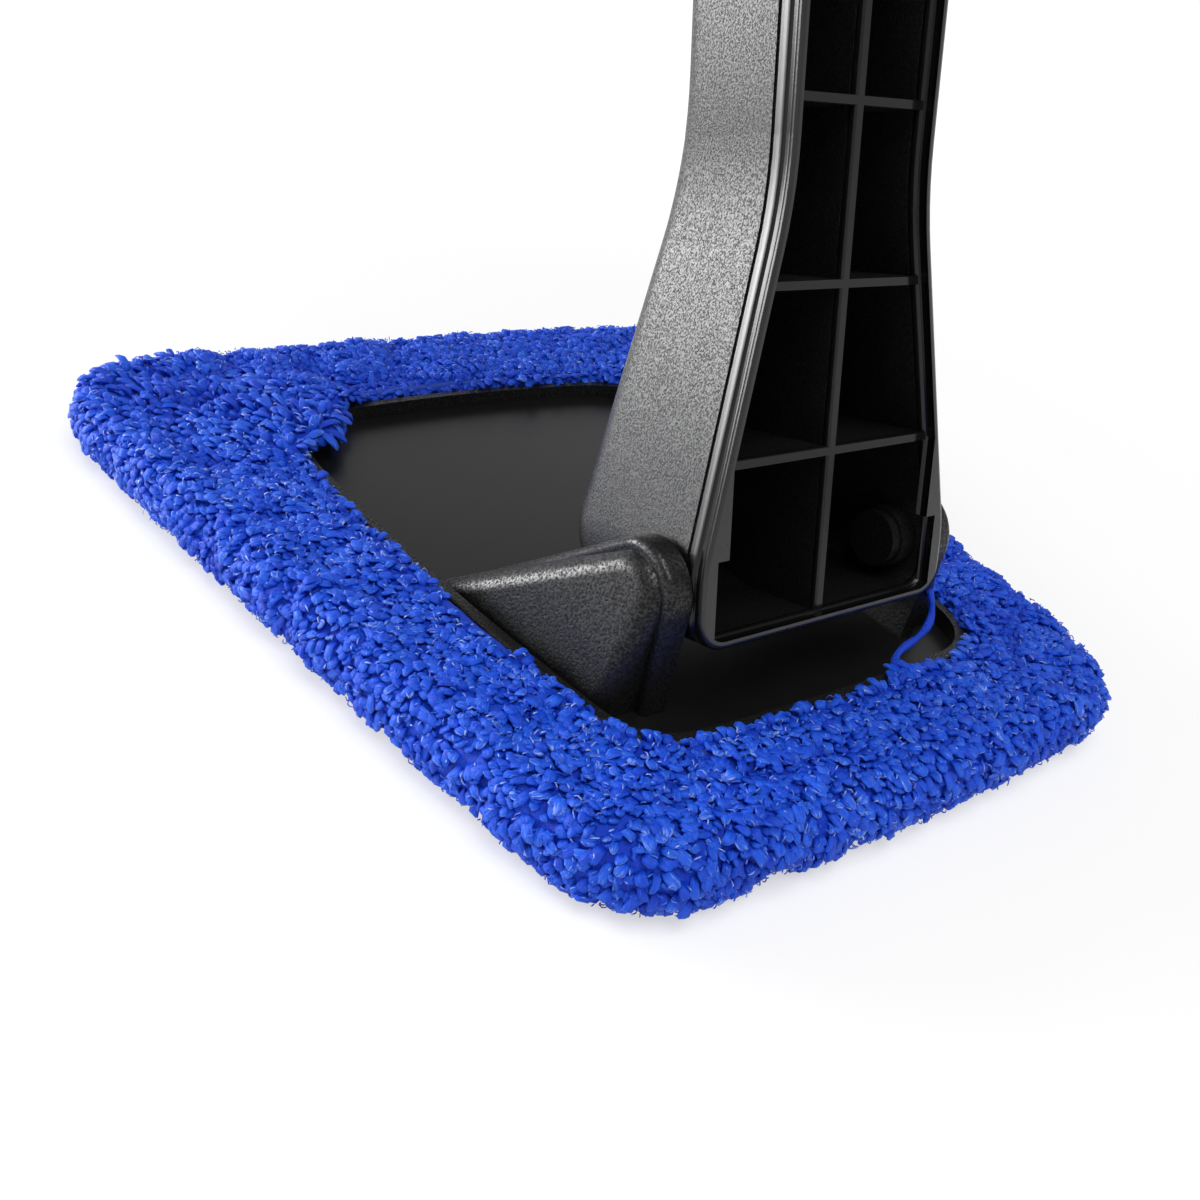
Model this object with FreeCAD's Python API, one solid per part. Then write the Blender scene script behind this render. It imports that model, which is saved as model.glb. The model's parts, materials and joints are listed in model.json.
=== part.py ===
import FreeCAD, Part
import math
import os

# Window scrubber: a microfibre bonnet stretched over a flat trapezoid head, and a ribbed
# open-backed handle that swings between two ears on the head.  Millimetres, +Z up, +X along
# the pivot, +Y towards the wide end of the head, origin under the middle of the head.

V = FreeCAD.Vector

# Clearances
SOFT_GAP = 0.3            # between a soft piece and what it covers
PIVOT_SIDE_GAP = 0.5      # between each ear and the handle
RUN_CLEARANCE = 0.06      # radial, pivot pin in the handle bore
SEAT_GAP = 0.25           # pin flange to boss, handle joint faces
TENON_CLEARANCE = 0.15    # handle tenon in the grip socket, each side
BUTTON_CLEARANCE = 0.25   # latch button in its window and pocket, each side

# Head outline, measured over the bonnet
HEAD_LENGTH = 179.1
REAR_HALF_WIDTH = 60.7    # at the square corner of the narrow end
FRONT_HALF_WIDTH = 87.8   # at the square corner of the wide end
BOW_REAR = 2.0
BOW_SIDE = 2.7
BOW_FRONT = 4.3
REAR_CORNER = 20.0
FRONT_CORNER = 19.5

# Bonnet
BONNET_HEIGHT = 14.0
BONNET_SOLE = 3.5         # pile under the foam
BONNET_SIDE = 7.0         # pile beside the plate
BONNET_TOP_ROUND = 7.0
BONNET_SOLE_ROUND = 6.4
OPENING_REAR = 22.2       # width of the bonnet's turned-over band at the narrow end
OPENING_SIDE_REAR = 21.5  # at the sides, near the narrow end
OPENING_SIDE_FRONT = 28.5 # and near the wide end
OPENING_FRONT = 31.5      # at the wide end
OPENING_REAR_CORNER = 15.0
OPENING_FRONT_CORNER = 26.0
HEM_ROUND = 2.6
ELASTIC_DIAMETER = 2.0
ELASTIC_TUNNEL_GAP = 0.2
ELASTIC_INSET = 2.6       # from the opening's edge to the middle of the elastic

# Foam pad and head plate
FOAM_THICKNESS = 3.0
FOAM_SETBACK = 1.2        # foam edge inside the plate edge
TRAY_FLOOR = 2.0
FLANGE_THICKNESS = 3.4
FLANGE_ROUND = 1.4
RIM_HEIGHT = 1.8
RIM_WIDTH = 2.4
RIM_ROUND = 0.7

# Ears and their fairings
PIVOT_Y = -46.15
PIVOT_Z = 27.9
EAR_RADIUS = 8.7
EAR_THICKNESS = 4.6
EAR_TOE = 39.0            # foot of the ear's front slope, ahead of the pivot
EAR_EDGE_ROUND = 1.4      # outer edge of the ear's band
EAR_BORE_DEPTH = 6.8
FAIRING_VALLEY = 2.0      # the fairing stands this far inside the ear's band
FAIRING_LEAN = 14.0       # degrees from upright, its outer face leans in
FAIRING_TURN = 6.4        # degrees, its outer face spreads towards the wide end
FAIRING_FOOT = 41.4       # middle plane to its outer face, beside the pivot at rim height
FAIRING_ROUND = 3.6       # along its crest and its rear edge

# Pivot pins
PIN_DIAMETER = 6.0
PIN_FLANGE_DIAMETER = 10.2
PIN_FLANGE_THICKNESS = 1.8
BOSS_DIAMETER = 11.4
BOSS_LENGTH = 5.2         # measured from the outside of the handle wall

# Handle, in its own frame: pivot at zero, z along the handle, +y its front
HANDLE_LEAN = 16.8        # degrees from upright, towards the wide end
YOKE_HALF_WIDTH = 28.9
YOKE_PARALLEL = 4.0       # the walls are parallel up to here
NECK_HALF_WIDTH = 15.8
NECK_START = 59.5         # end of the taper
YOKE_BACK = 10.3          # open back, behind the pivot
YOKE_BOTTOM = 9.0         # rounded end, below the pivot
YOKE_TOE_DEPTH = 11.0     # front of the flat under the rounded end
YOKE_SHOULDER_DEPTH = 27.3
YOKE_SHOULDER_DROP = 2.2  # the front's lowest corner, below the pivot
NECK_FRONT_DEPTH = 16.0
NECK_FRONT_START = 72.0
YOKE_WALL = 1.5
YOKE_BEND = 25.0          # radius where the taper starts
NECK_BEND = 70.0          # radius where the taper runs into the neck
YOKE_TOE_ROUND = 9.0
YOKE_SHOULDER_ROUND = 12.0
FRONT_EDGE_ROUND = 5.5
BACK_EDGE_ROUND = 1.0
LIP_DEPTH = 2.4           # inward lips along the open back, beside the pivot
LIP_STEP = 6.0            # height of the step in their inner edges
LIP_LOW_GAP = 25.9        # middle plane to the lip, below the step
LIP_HIGH_GAP = 23.6       # and above it
SEAM_DEPTH = 0.4
SEAM_WIDTH = 0.7
SEAM_SETBACK = 3.9        # moulding seam, from the open back
RIB_THICKNESS = 1.3
RIB_SETBACK = 2.1         # rib edges below the open back
RIB_FIRST = 20.1
RIB_PITCH = 26.4

# Handle joint, latch and grip
JOINT_HEIGHT = 128.0
YOKE_END_WALL = 5.0
TENON_LENGTH = 34.0
GRIP_WALL = 2.6
GRIP_END = 275.0
GRIP_SWELL_HALF_WIDTH = 17.0
GRIP_SWELL_HEIGHT = 200.0
GRIP_SWELL_DEPTH = 2.0    # extra depth at the swell, to the front
GRIP_TAIL_HALF_WIDTH = 14.6
GRIP_TAIL_DEPTH = 6.0     # the tail is this much thinner at the front
GRIP_BEND = 60.0          # radius where the swell starts
GRIP_SWELL_BEND = 520.0   # radius over the swell
GRIP_TAIL_ROUND = 12.0
GRIP_FRONT_ROUND = 4.8
GRIP_BACK_ROUND = 3.2
GRIP_TAIL_WALL = 24.0     # solid tail round the hanging hole
SOCKET_HEAD = 3.0         # wall above the socket
HANG_HOLE_DIAMETER = 9.0
HANG_HOLE_SETBACK = 12.5
BUTTON_WIDTH = 11.0
BUTTON_HEIGHT = 9.0
BUTTON_PROUD = 0.9
BUTTON_FLANGE = 1.5       # flange round the button
BUTTON_FLANGE_THICKNESS = 2.0
BUTTON_CENTRE = 17.0      # above the handle joint
SPRING_ROOM = 9.0         # from the flange to the pocket floor
SPRING_DIAMETER = 6.4
SPRING_WIRE = 0.7
SPRING_TURNS = 5

# Levels and places that follow from the sizes above
FOAM_BASE = BONNET_SOLE + SOFT_GAP
PLATE_BASE = FOAM_BASE + FOAM_THICKNESS
TRAY_TOP = PLATE_BASE + TRAY_FLOOR
FLANGE_TOP = PLATE_BASE + FLANGE_THICKNESS
RIM_TOP = FLANGE_TOP + RIM_HEIGHT
LAP_BASE = FLANGE_TOP + SOFT_GAP
REAR_LINE = -HEAD_LENGTH / 2 + BOW_REAR
FRONT_LINE = HEAD_LENGTH / 2 - BOW_FRONT
SIDE_SLOPE = (FRONT_HALF_WIDTH - REAR_HALF_WIDTH) / (FRONT_LINE - REAR_LINE)
EAR_INNER = YOKE_HALF_WIDTH + PIVOT_SIDE_GAP
OPENING = (OPENING_REAR, OPENING_SIDE_REAR, OPENING_SIDE_FRONT, OPENING_FRONT)
OPENING_CORNERS = (OPENING_REAR_CORNER, OPENING_FRONT_CORNER)
GRIP_BASE = JOINT_HEIGHT + SEAT_GAP
BUTTON_HEIGHT_ON_HANDLE = JOINT_HEIGHT + BUTTON_CENTRE
SOCKET_TOP = JOINT_HEIGHT + TENON_LENGTH + SEAT_GAP
FAR = 400.0               # past everything
OVERCUT = 1.0             # how far a cutting form runs past a face
TOLERANCE = 1e-4


def widen(insets, amount):
    """The same insets (rear, side at the rear, side at the front, front), further in by amount."""
    return tuple(inset + amount for inset in insets)


def all_round(inset):
    """One inset for all sides of the head."""
    return widen((0, 0, 0, 0), inset)


def head_prism(insets, corners, base, top):
    """A slab between two levels, whose outline is the bowed trapezoid moved in by the insets."""
    rear = REAR_LINE + insets[0]
    front = FRONT_LINE - insets[3]
    stretch = math.hypot(1, SIDE_SLOPE)
    half_rear = REAR_HALF_WIDTH + SIDE_SLOPE * (rear - REAR_LINE) - insets[1] * stretch
    half_front = REAR_HALF_WIDTH + SIDE_SLOPE * (front - REAR_LINE) - insets[2] * stretch
    ring = [V(-half_rear, rear, base), V(half_rear, rear, base),
            V(half_front, front, base), V(-half_front, front, base)]
    edges = []
    for index, bow in enumerate((BOW_REAR, BOW_SIDE, BOW_FRONT, BOW_SIDE)):
        start = ring[index]
        end = ring[(index + 1) % 4]
        along = (end - start).normalize()
        crown = (start + end) * 0.5 + V(along.y, -along.x, 0) * bow
        edges.append(Part.Arc(start, crown, end).toShape())
    slab = Part.Face(Part.Wire(edges)).extrude(V(0, 0, top - base))
    for radius, y_level in zip(corners, (rear, front)):
        posts = [edge for edge in slab.Edges if is_post(edge, y_level)]
        slab = slab.makeFillet(radius, posts)
    return slab


def is_post(edge, y_level):
    """True for an upright straight edge on the line y = y_level."""
    first = edge.Vertexes[0].Point
    last = edge.Vertexes[-1].Point
    upright = abs(first.x - last.x) + abs(first.y - last.y) < TOLERANCE
    return upright and abs(first.y - y_level) < TOLERANCE


def is_level(shape, level):
    """True for an edge or face that lies in the plane z = level."""
    box = shape.BoundBox
    return abs(box.ZMin - level) + abs(box.ZMax - level) < TOLERANCE


def level_edges(shape, level):
    """The edges of a shape that lie in the plane z = level."""
    return [edge for edge in shape.Edges if is_level(edge, level)]


def loop_at(slab, level):
    """The outline of a slab's face at a level, as a wire."""
    faces = [face for face in slab.Faces if is_level(face, level)]
    return faces[0].OuterWire


def middle_of(edge):
    """The parameter half-way along an edge."""
    return (edge.FirstParameter + edge.LastParameter) / 2


def rounded_wire(points, radii, to_space):
    """A closed wire through 2-D corner points, each corner rounded by its own tangent arc."""
    flat = [V(a, b, 0) for a, b in points]
    ends = []
    for index, corner in enumerate(flat):
        before = (flat[index - 1] - corner).normalize()
        after = (flat[(index + 1) % len(flat)] - corner).normalize()
        radius = radii[index]
        if radius == 0:
            ends.append((corner, None, corner))
            continue
        half_angle = before.getAngle(after) / 2
        middle = (before + after).normalize()
        reach = radius / math.tan(half_angle)
        crown = corner + middle * (radius / math.sin(half_angle) - radius)
        ends.append((corner + before * reach, crown, corner + after * reach))
    edges = []
    for index, (start, crown, end) in enumerate(ends):
        if crown is not None:
            edges.append(Part.Arc(to_space(start), to_space(crown), to_space(end)).toShape())
        follower = ends[(index + 1) % len(ends)][0]
        edges.append(Part.makeLine(to_space(end), to_space(follower)))
    return Part.Wire(edges)


def front_prism(points, radii, back, front):
    """A front-view outline (x, z) carried from y = back to y = front."""
    wire = rounded_wire(points, radii, lambda p: V(p.x, back, p.y))
    return Part.Face(wire).extrude(V(0, front - back, 0))


def side_prism(points, radii, half_width):
    """A side-view outline (y, z) carried across the handle."""
    wire = rounded_wire(points, radii, lambda p: V(-half_width, p.x, p.y))
    return Part.Face(wire).extrude(V(2 * half_width, 0, 0))


def block(x0, x1, y0, y1, z0, z1):
    """A box between three pairs of limits."""
    return Part.makeBox(x1 - x0, y1 - y0, z1 - z0, V(x0, y0, z0))


def mirrored(shape):
    """The same shape on the other side of the middle plane."""
    return shape.mirror(V(0, 0, 0), V(1, 0, 0))


def on_head(shape):
    """Leans a handle piece to its rest angle and sets it on the pivot."""
    placed = shape.copy()
    placed.rotate(V(0, 0, 0), V(1, 0, 0), -HANDLE_LEAN)
    placed.translate(V(0, PIVOT_Y, PIVOT_Z))
    return placed


def ear_profile(x, radius):
    """An ear's side view at one x: upright back, round top and a straight slope to its toe."""
    base = PLATE_BASE + TRAY_FLOOR / 2
    centre = V(x, PIVOT_Y, PIVOT_Z)
    toe = V(x, PIVOT_Y + EAR_TOE, base)
    to_toe = toe - centre
    bearing = math.atan2(to_toe.z, to_toe.y) + math.acos(radius / to_toe.Length)
    slope_end = centre + V(0, math.cos(bearing), math.sin(bearing)) * radius
    crown_bearing = (bearing + math.pi) / 2
    crown = centre + V(0, math.cos(crown_bearing), math.sin(crown_bearing)) * radius
    back = V(x, PIVOT_Y - radius, PIVOT_Z)
    heel = V(x, PIVOT_Y - radius, base)
    return Part.Wire([Part.makeLine(heel, back), Part.Arc(back, crown, slope_end).toShape(),
                      Part.makeLine(slope_end, toe), Part.makeLine(toe, heel)])


def outer_edges(shape):
    """The raised edges of the face that looks outwards, which leaves out its foot."""
    face = [face for face in shape.Faces if face.normalAt(0, 0).x > 0.5][0]
    return [edge for edge in face.Edges if edge.BoundBox.ZMax > RIM_TOP]


def make_ear_band():
    """Flat ear round the pivot on the +X side, with a soft outer edge."""
    band = Part.Face(ear_profile(EAR_INNER, EAR_RADIUS)).extrude(V(EAR_THICKNESS, 0, 0))
    return band.makeFillet(EAR_EDGE_ROUND, outer_edges(band))


def make_fairing():
    """Wedge outside the ear: its side view cut by one slanting face that runs down to the rim."""
    profile = Part.Face(ear_profile(EAR_INNER, EAR_RADIUS - FAIRING_VALLEY))
    wedge = profile.extrude(V(FAR / 2, 0, 0))
    outside = block(0, FAR, -FAR, FAR, -FAR, FAR)
    outside.rotate(V(0, 0, 0), V(0, 1, 0), -FAIRING_LEAN)
    outside.rotate(V(0, 0, 0), V(0, 0, 1), -FAIRING_TURN)
    outside.translate(V(FAIRING_FOOT, PIVOT_Y, RIM_TOP))
    wedge = wedge.cut(outside)
    return wedge.makeFillet(FAIRING_ROUND, outer_edges(wedge))


def make_head_plate():
    """Moulded tray: flange under the bonnet's band, raised rim, sunk floor, two ears with pin bores."""
    corners = (REAR_CORNER - BONNET_SIDE, FRONT_CORNER - BONNET_SIDE)
    flange = head_prism(all_round(BONNET_SIDE), corners, PLATE_BASE, FLANGE_TOP)
    flange = flange.makeFillet(FLANGE_ROUND, level_edges(flange, FLANGE_TOP))
    rim_insets = widen(OPENING, SOFT_GAP)
    rim_corners = tuple(radius - SOFT_GAP for radius in OPENING_CORNERS)
    rim = head_prism(rim_insets, rim_corners, PLATE_BASE, RIM_TOP)
    rim = rim.makeFillet(RIM_ROUND, level_edges(rim, RIM_TOP))
    tray_insets = widen(rim_insets, RIM_WIDTH)
    tray_corners = tuple(radius - RIM_WIDTH for radius in rim_corners)
    tray = head_prism(tray_insets, tray_corners, TRAY_TOP, RIM_TOP + FAR)
    plate = flange.fuse(rim).cut(tray)
    ear = make_ear_band().fuse(make_fairing())
    ear = ear.common(head_prism(rim_insets, rim_corners, PLATE_BASE, FAR))
    bore_start = V(EAR_INNER, PIVOT_Y, PIVOT_Z)
    ear = ear.cut(Part.makeCylinder(PIN_DIAMETER / 2, EAR_BORE_DEPTH, bore_start, V(1, 0, 0)))
    return plate.fuse([ear, mirrored(ear)]).removeSplitter()


def make_foam_pad():
    """Foam sheet bonded under the plate."""
    setback = BONNET_SIDE + FOAM_SETBACK
    corners = (REAR_CORNER - setback, FRONT_CORNER - setback)
    return head_prism(all_round(setback), corners, FOAM_BASE, PLATE_BASE)


def elastic_loop(diameter):
    """A closed round tube that follows the opening inside the bonnet's hem."""
    insets = widen(OPENING, -ELASTIC_INSET)
    corners = tuple(radius + ELASTIC_INSET for radius in OPENING_CORNERS)
    level = (LAP_BASE + BONNET_HEIGHT) / 2
    path = loop_at(head_prism(insets, corners, level, BONNET_HEIGHT), level)
    return swept_wire(path, diameter)


def swept_wire(path, diameter):
    """A round section carried along a path."""
    start = path.Edges[0]
    at = start.FirstParameter
    section = Part.makeCircle(diameter / 2, start.valueAt(at), start.tangentAt(at))
    return path.makePipeShell([Part.Wire([section])], True, False)


def make_bonnet():
    """Pile bonnet: rolled border, hollow for plate and foam, mouth on top, tunnel for the elastic."""
    outer = head_prism(all_round(0), (REAR_CORNER, FRONT_CORNER), 0, BONNET_HEIGHT)
    outer = outer.makeFillet(BONNET_TOP_ROUND, level_edges(outer, BONNET_HEIGHT))
    outer = outer.makeFillet(BONNET_SOLE_ROUND, level_edges(outer, 0))
    inset = BONNET_SIDE - SOFT_GAP
    corners = (REAR_CORNER - inset, FRONT_CORNER - inset)
    hollow = head_prism(all_round(inset), corners, BONNET_SOLE, LAP_BASE)
    mouth = head_prism(OPENING, OPENING_CORNERS, LAP_BASE - SOFT_GAP, BONNET_HEIGHT + FAR)
    shell = outer.cut(hollow).cut(mouth)
    top_edges = level_edges(shell, BONNET_HEIGHT)
    near_mouth = head_prism(widen(OPENING, -HEM_ROUND), OPENING_CORNERS, LAP_BASE, BONNET_HEIGHT)
    hem = [e for e in top_edges if near_mouth.isInside(e.valueAt(middle_of(e)), TOLERANCE, True)]
    shell = shell.makeFillet(HEM_ROUND, hem)
    return shell.cut(elastic_loop(ELASTIC_DIAMETER + 2 * ELASTIC_TUNNEL_GAP))


def make_pivot_pin():
    """Flanged pin on the +X side, pushed through the handle boss into the ear."""
    boss_end = YOKE_HALF_WIDTH - BOSS_LENGTH - SEAT_GAP
    tip = EAR_INNER + EAR_BORE_DEPTH - SEAT_GAP
    shank = Part.makeCylinder(PIN_DIAMETER / 2, tip - boss_end, V(boss_end, 0, 0), V(1, 0, 0))
    flange_start = V(boss_end - PIN_FLANGE_THICKNESS, 0, 0)
    flange = Part.makeCylinder(PIN_FLANGE_DIAMETER / 2, PIN_FLANGE_THICKNESS, flange_start, V(1, 0, 0))
    pin = shank.fuse(flange).removeSplitter()
    pin.translate(V(0, PIVOT_Y, PIVOT_Z))
    return pin


def yoke_front_view(inset, end_inset, top):
    """Front outline of the lower handle: parallel at the pivot, tapering to the neck."""
    half = YOKE_HALF_WIDTH - inset
    neck = NECK_HALF_WIDTH - inset
    bottom = -YOKE_BOTTOM + end_inset
    side = [(half, bottom), (half, YOKE_PARALLEL), (neck, NECK_START), (neck, top)]
    other = [(-x, z) for x, z in reversed(side)]
    radii = [0, YOKE_BEND, NECK_BEND, 0]
    return side + other, radii + radii[::-1]


def yoke_side_view(inset, end_inset, back, top):
    """Side outline of the lower handle: straight open back, rounded end, sloping front."""
    bottom = -YOKE_BOTTOM + end_inset
    points = [(-back, bottom), (YOKE_TOE_DEPTH - inset, bottom),
              (YOKE_SHOULDER_DEPTH - inset, -YOKE_SHOULDER_DROP),
              (NECK_FRONT_DEPTH - inset, NECK_FRONT_START),
              (NECK_FRONT_DEPTH - inset, top), (-back, top)]
    return points, [0, YOKE_TOE_ROUND - inset, YOKE_SHOULDER_ROUND - inset, NECK_BEND, 0, 0]


def ribs_in(cavity, heights, low, high):
    """Thin walls across and along a cavity, set back from its open side."""
    front = cavity.BoundBox.YMax
    back = -YOKE_BACK + RIB_SETBACK
    half = RIB_THICKNESS / 2
    walls = [block(-half, half, back, front, low, high)]
    walls += [block(-FAR, FAR, back, front, height - half, height + half) for height in heights]
    grid = walls[0].fuse(walls[1:])
    return cavity.common(grid)


def rib_heights(low, high):
    """The heights of the cross ribs between two levels, on one pitch for the whole handle."""
    count = int((GRIP_END - RIB_FIRST) / RIB_PITCH) + 1
    heights = [RIB_FIRST + RIB_PITCH * index for index in range(count)]
    return [height for height in heights if low + RIB_THICKNESS < height < high - RIB_THICKNESS]


def long_edges(shape, back, front):
    """The handle's long edges on its two flanks, whose middles lie between two depths."""
    found = []
    for edge in shape.Edges:
        middle = edge.valueAt(middle_of(edge))
        along = edge.tangentAt(middle_of(edge))
        if back < middle.y < front and abs(along.z) > 0.5 and abs(middle.x) > NECK_HALF_WIDTH / 2:
            found.append(edge)
    return found


def back_edges(shape):
    """The two long edges of the open back."""
    return long_edges(shape, -YOKE_BACK - OVERCUT, -YOKE_BACK + OVERCUT)


def yoke_body(inset, end_inset, back, top):
    """The lower handle's solid form, from its front and side outlines."""
    points, radii = yoke_front_view(inset, end_inset, top)
    side, side_radii = yoke_side_view(inset, end_inset, back, top)
    return front_prism(points, radii, -FAR, FAR).common(side_prism(side, side_radii, FAR))


def back_lips(cavity):
    """Inward lips along the open back beside the pivot, with a step in their inner edges."""
    front = -YOKE_BACK + LIP_DEPTH
    low = block(LIP_LOW_GAP, FAR, -YOKE_BACK, front, -YOKE_BOTTOM, LIP_STEP)
    high = block(LIP_HIGH_GAP, FAR, -YOKE_BACK, front, LIP_STEP, JOINT_HEIGHT)
    lip = cavity.common(low.fuse(high))
    return [lip, mirrored(lip)]


def seam_groove():
    """Moulding seam round the handle, near its open back and above its rounded end."""
    around = yoke_body(-OVERCUT, -OVERCUT, YOKE_BACK, FAR)
    kept = yoke_body(SEAM_DEPTH, SEAM_DEPTH, YOKE_BACK + OVERCUT, FAR)
    back = -YOKE_BACK + SEAM_SETBACK
    low = YOKE_PARALLEL - YOKE_BOTTOM
    return around.cut(kept).common(block(-FAR, FAR, back, back + SEAM_WIDTH, low, JOINT_HEIGHT))


def make_tenon():
    """Square plug for the grip, with the latch pocket and two cores open to the back."""
    half = NECK_HALF_WIDTH - GRIP_WALL - TENON_CLEARANCE
    back = -YOKE_BACK + GRIP_WALL + TENON_CLEARANCE
    front = NECK_FRONT_DEPTH - GRIP_WALL - TENON_CLEARANCE
    top = JOINT_HEIGHT + TENON_LENGTH
    tenon = block(-half, half, back, front, JOINT_HEIGHT - YOKE_END_WALL, top)
    upright = [edge for edge in tenon.Edges if abs(edge.tangentAt(0).z) > 0.9]
    tenon = tenon.makeFillet(YOKE_WALL, upright)
    pocket_half = BUTTON_WIDTH / 2 + BUTTON_FLANGE + BUTTON_CLEARANCE
    core_inner = pocket_half + RIB_THICKNESS
    core_outer = half - RIB_THICKNESS
    core = block(core_inner, core_outer, back - OVERCUT, front - RIB_THICKNESS,
                 JOINT_HEIGHT + RIB_THICKNESS, top - RIB_THICKNESS)
    tenon = tenon.cut([core, mirrored(core)])
    floor = button_flange_back() - SPRING_ROOM
    pocket_rise = BUTTON_HEIGHT / 2 + BUTTON_FLANGE + BUTTON_CLEARANCE
    pocket = block(-pocket_half, pocket_half, floor, front + OVERCUT,
                   BUTTON_HEIGHT_ON_HANDLE - pocket_rise, BUTTON_HEIGHT_ON_HANDLE + pocket_rise)
    return tenon.cut(pocket)


def button_flange_back():
    """Depth of the back of the button's flange, which rests against the socket wall."""
    return NECK_FRONT_DEPTH - GRIP_WALL - BUTTON_CLEARANCE - BUTTON_FLANGE_THICKNESS


def make_yoke():
    """Lower handle: open-backed channel with ribs, pivot bosses, and a tenon for the grip."""
    outer = yoke_body(0, 0, YOKE_BACK, JOINT_HEIGHT)
    outer = outer.makeFillet(FRONT_EDGE_ROUND, long_edges(outer, 0, FAR))
    outer = outer.makeFillet(BACK_EDGE_ROUND, back_edges(outer))
    ceiling = JOINT_HEIGHT - YOKE_END_WALL
    cavity = yoke_body(YOKE_WALL, YOKE_WALL, YOKE_BACK + OVERCUT, ceiling)
    cavity = cavity.makeFillet(FRONT_EDGE_ROUND - YOKE_WALL, long_edges(cavity, 0, FAR))
    ribs = ribs_in(cavity, rib_heights(0, ceiling), -YOKE_BOTTOM, ceiling)
    boss_start = V(YOKE_HALF_WIDTH - BOSS_LENGTH, 0, 0)
    boss_length = BOSS_LENGTH - YOKE_WALL / 2
    boss = Part.makeCylinder(BOSS_DIAMETER / 2, boss_length, boss_start, V(1, 0, 0))
    inside = [ribs, boss, mirrored(boss), make_tenon()] + back_lips(cavity)
    yoke = outer.cut(cavity).fuse(inside)
    bore_radius = PIN_DIAMETER / 2 + RUN_CLEARANCE
    bore_start = boss_start - V(OVERCUT, 0, 0)
    bore = Part.makeCylinder(bore_radius, 2 * YOKE_HALF_WIDTH, bore_start, V(1, 0, 0))
    return yoke.cut([bore, mirrored(bore), seam_groove()]).removeSplitter()


def grip_front_view(inset, base, top):
    """Front outline of the grip: a slow swell in the palm and a rounded tail."""
    start = NECK_HALF_WIDTH - inset
    swell = GRIP_SWELL_HALF_WIDTH - inset
    tail = GRIP_TAIL_HALF_WIDTH - inset
    side = [(start, base), (start, base + GRIP_BACK_ROUND), (swell, GRIP_SWELL_HEIGHT), (tail, top)]
    other = [(-x, z) for x, z in reversed(side)]
    radii = [0, GRIP_BEND, GRIP_SWELL_BEND, GRIP_TAIL_ROUND - inset]
    return side + other, radii + radii[::-1]


def grip_side_view(inset, back, base, top):
    """Side outline of the grip: deeper at the swell, thinner at the tail."""
    front = NECK_FRONT_DEPTH - inset
    points = [(-back, base), (front, base), (front, base + GRIP_BACK_ROUND),
              (front + GRIP_SWELL_DEPTH, GRIP_SWELL_HEIGHT),
              (front - GRIP_TAIL_DEPTH, top), (-back, top)]
    return points, [0, 0, GRIP_BEND, GRIP_SWELL_BEND, 0, 0]


def grip_body(inset, back, base, top):
    """The grip's solid form, from its front and side outlines."""
    points, radii = grip_front_view(inset, base, top)
    side, side_radii = grip_side_view(inset, back, base, top)
    return front_prism(points, radii, -FAR, FAR).common(side_prism(side, side_radii, FAR))


def make_grip():
    """Upper handle: socket and latch window below, ribbed open back, hanging hole in the tail."""
    outer = grip_body(0, YOKE_BACK, GRIP_BASE, GRIP_END)
    outer = outer.makeFillet(GRIP_FRONT_ROUND, long_edges(outer, 0, FAR))
    outer = outer.makeFillet(GRIP_BACK_ROUND, back_edges(outer))
    low = SOCKET_TOP + SOCKET_HEAD
    high = GRIP_END - GRIP_TAIL_WALL
    cavity = grip_body(GRIP_WALL, YOKE_BACK + OVERCUT, GRIP_BASE, GRIP_END)
    cavity = cavity.common(block(-FAR, FAR, -FAR, FAR, low, high))
    ribs = ribs_in(cavity, rib_heights(low, high), low, high)
    half = NECK_HALF_WIDTH - GRIP_WALL
    socket = block(-half, half, -YOKE_BACK + GRIP_WALL, NECK_FRONT_DEPTH - GRIP_WALL,
                   GRIP_BASE - OVERCUT, SOCKET_TOP)
    window_half = BUTTON_WIDTH / 2 + BUTTON_CLEARANCE
    window_rise = BUTTON_HEIGHT / 2 + BUTTON_CLEARANCE
    window = block(-window_half, window_half, 0, FAR,
                   BUTTON_HEIGHT_ON_HANDLE - window_rise, BUTTON_HEIGHT_ON_HANDLE + window_rise)
    hole_start = V(0, -FAR, GRIP_END - HANG_HOLE_SETBACK)
    hole = Part.makeCylinder(HANG_HOLE_DIAMETER / 2, 2 * FAR, hole_start, V(0, 1, 0))
    return outer.cut(cavity).fuse(ribs).cut([socket, window, hole]).removeSplitter()


def make_latch_button():
    """Push button: a crowned pad in the window and a flange behind the socket wall."""
    flange_back = button_flange_back()
    flange_front = flange_back + BUTTON_FLANGE_THICKNESS
    pad_front = NECK_FRONT_DEPTH + BUTTON_PROUD
    half = BUTTON_WIDTH / 2
    rise = BUTTON_HEIGHT / 2
    centre = BUTTON_HEIGHT_ON_HANDLE
    pad = block(-half, half, flange_back, pad_front, centre - rise, centre + rise)
    crown = [edge for edge in pad.Edges if edge.BoundBox.YMin > pad_front - TOLERANCE]
    pad = pad.makeFillet(BUTTON_PROUD, crown)
    flange = block(-half - BUTTON_FLANGE, half + BUTTON_FLANGE, flange_back, flange_front,
                   centre - rise - BUTTON_FLANGE, centre + rise + BUTTON_FLANGE)
    return pad.fuse(flange).removeSplitter()


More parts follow.
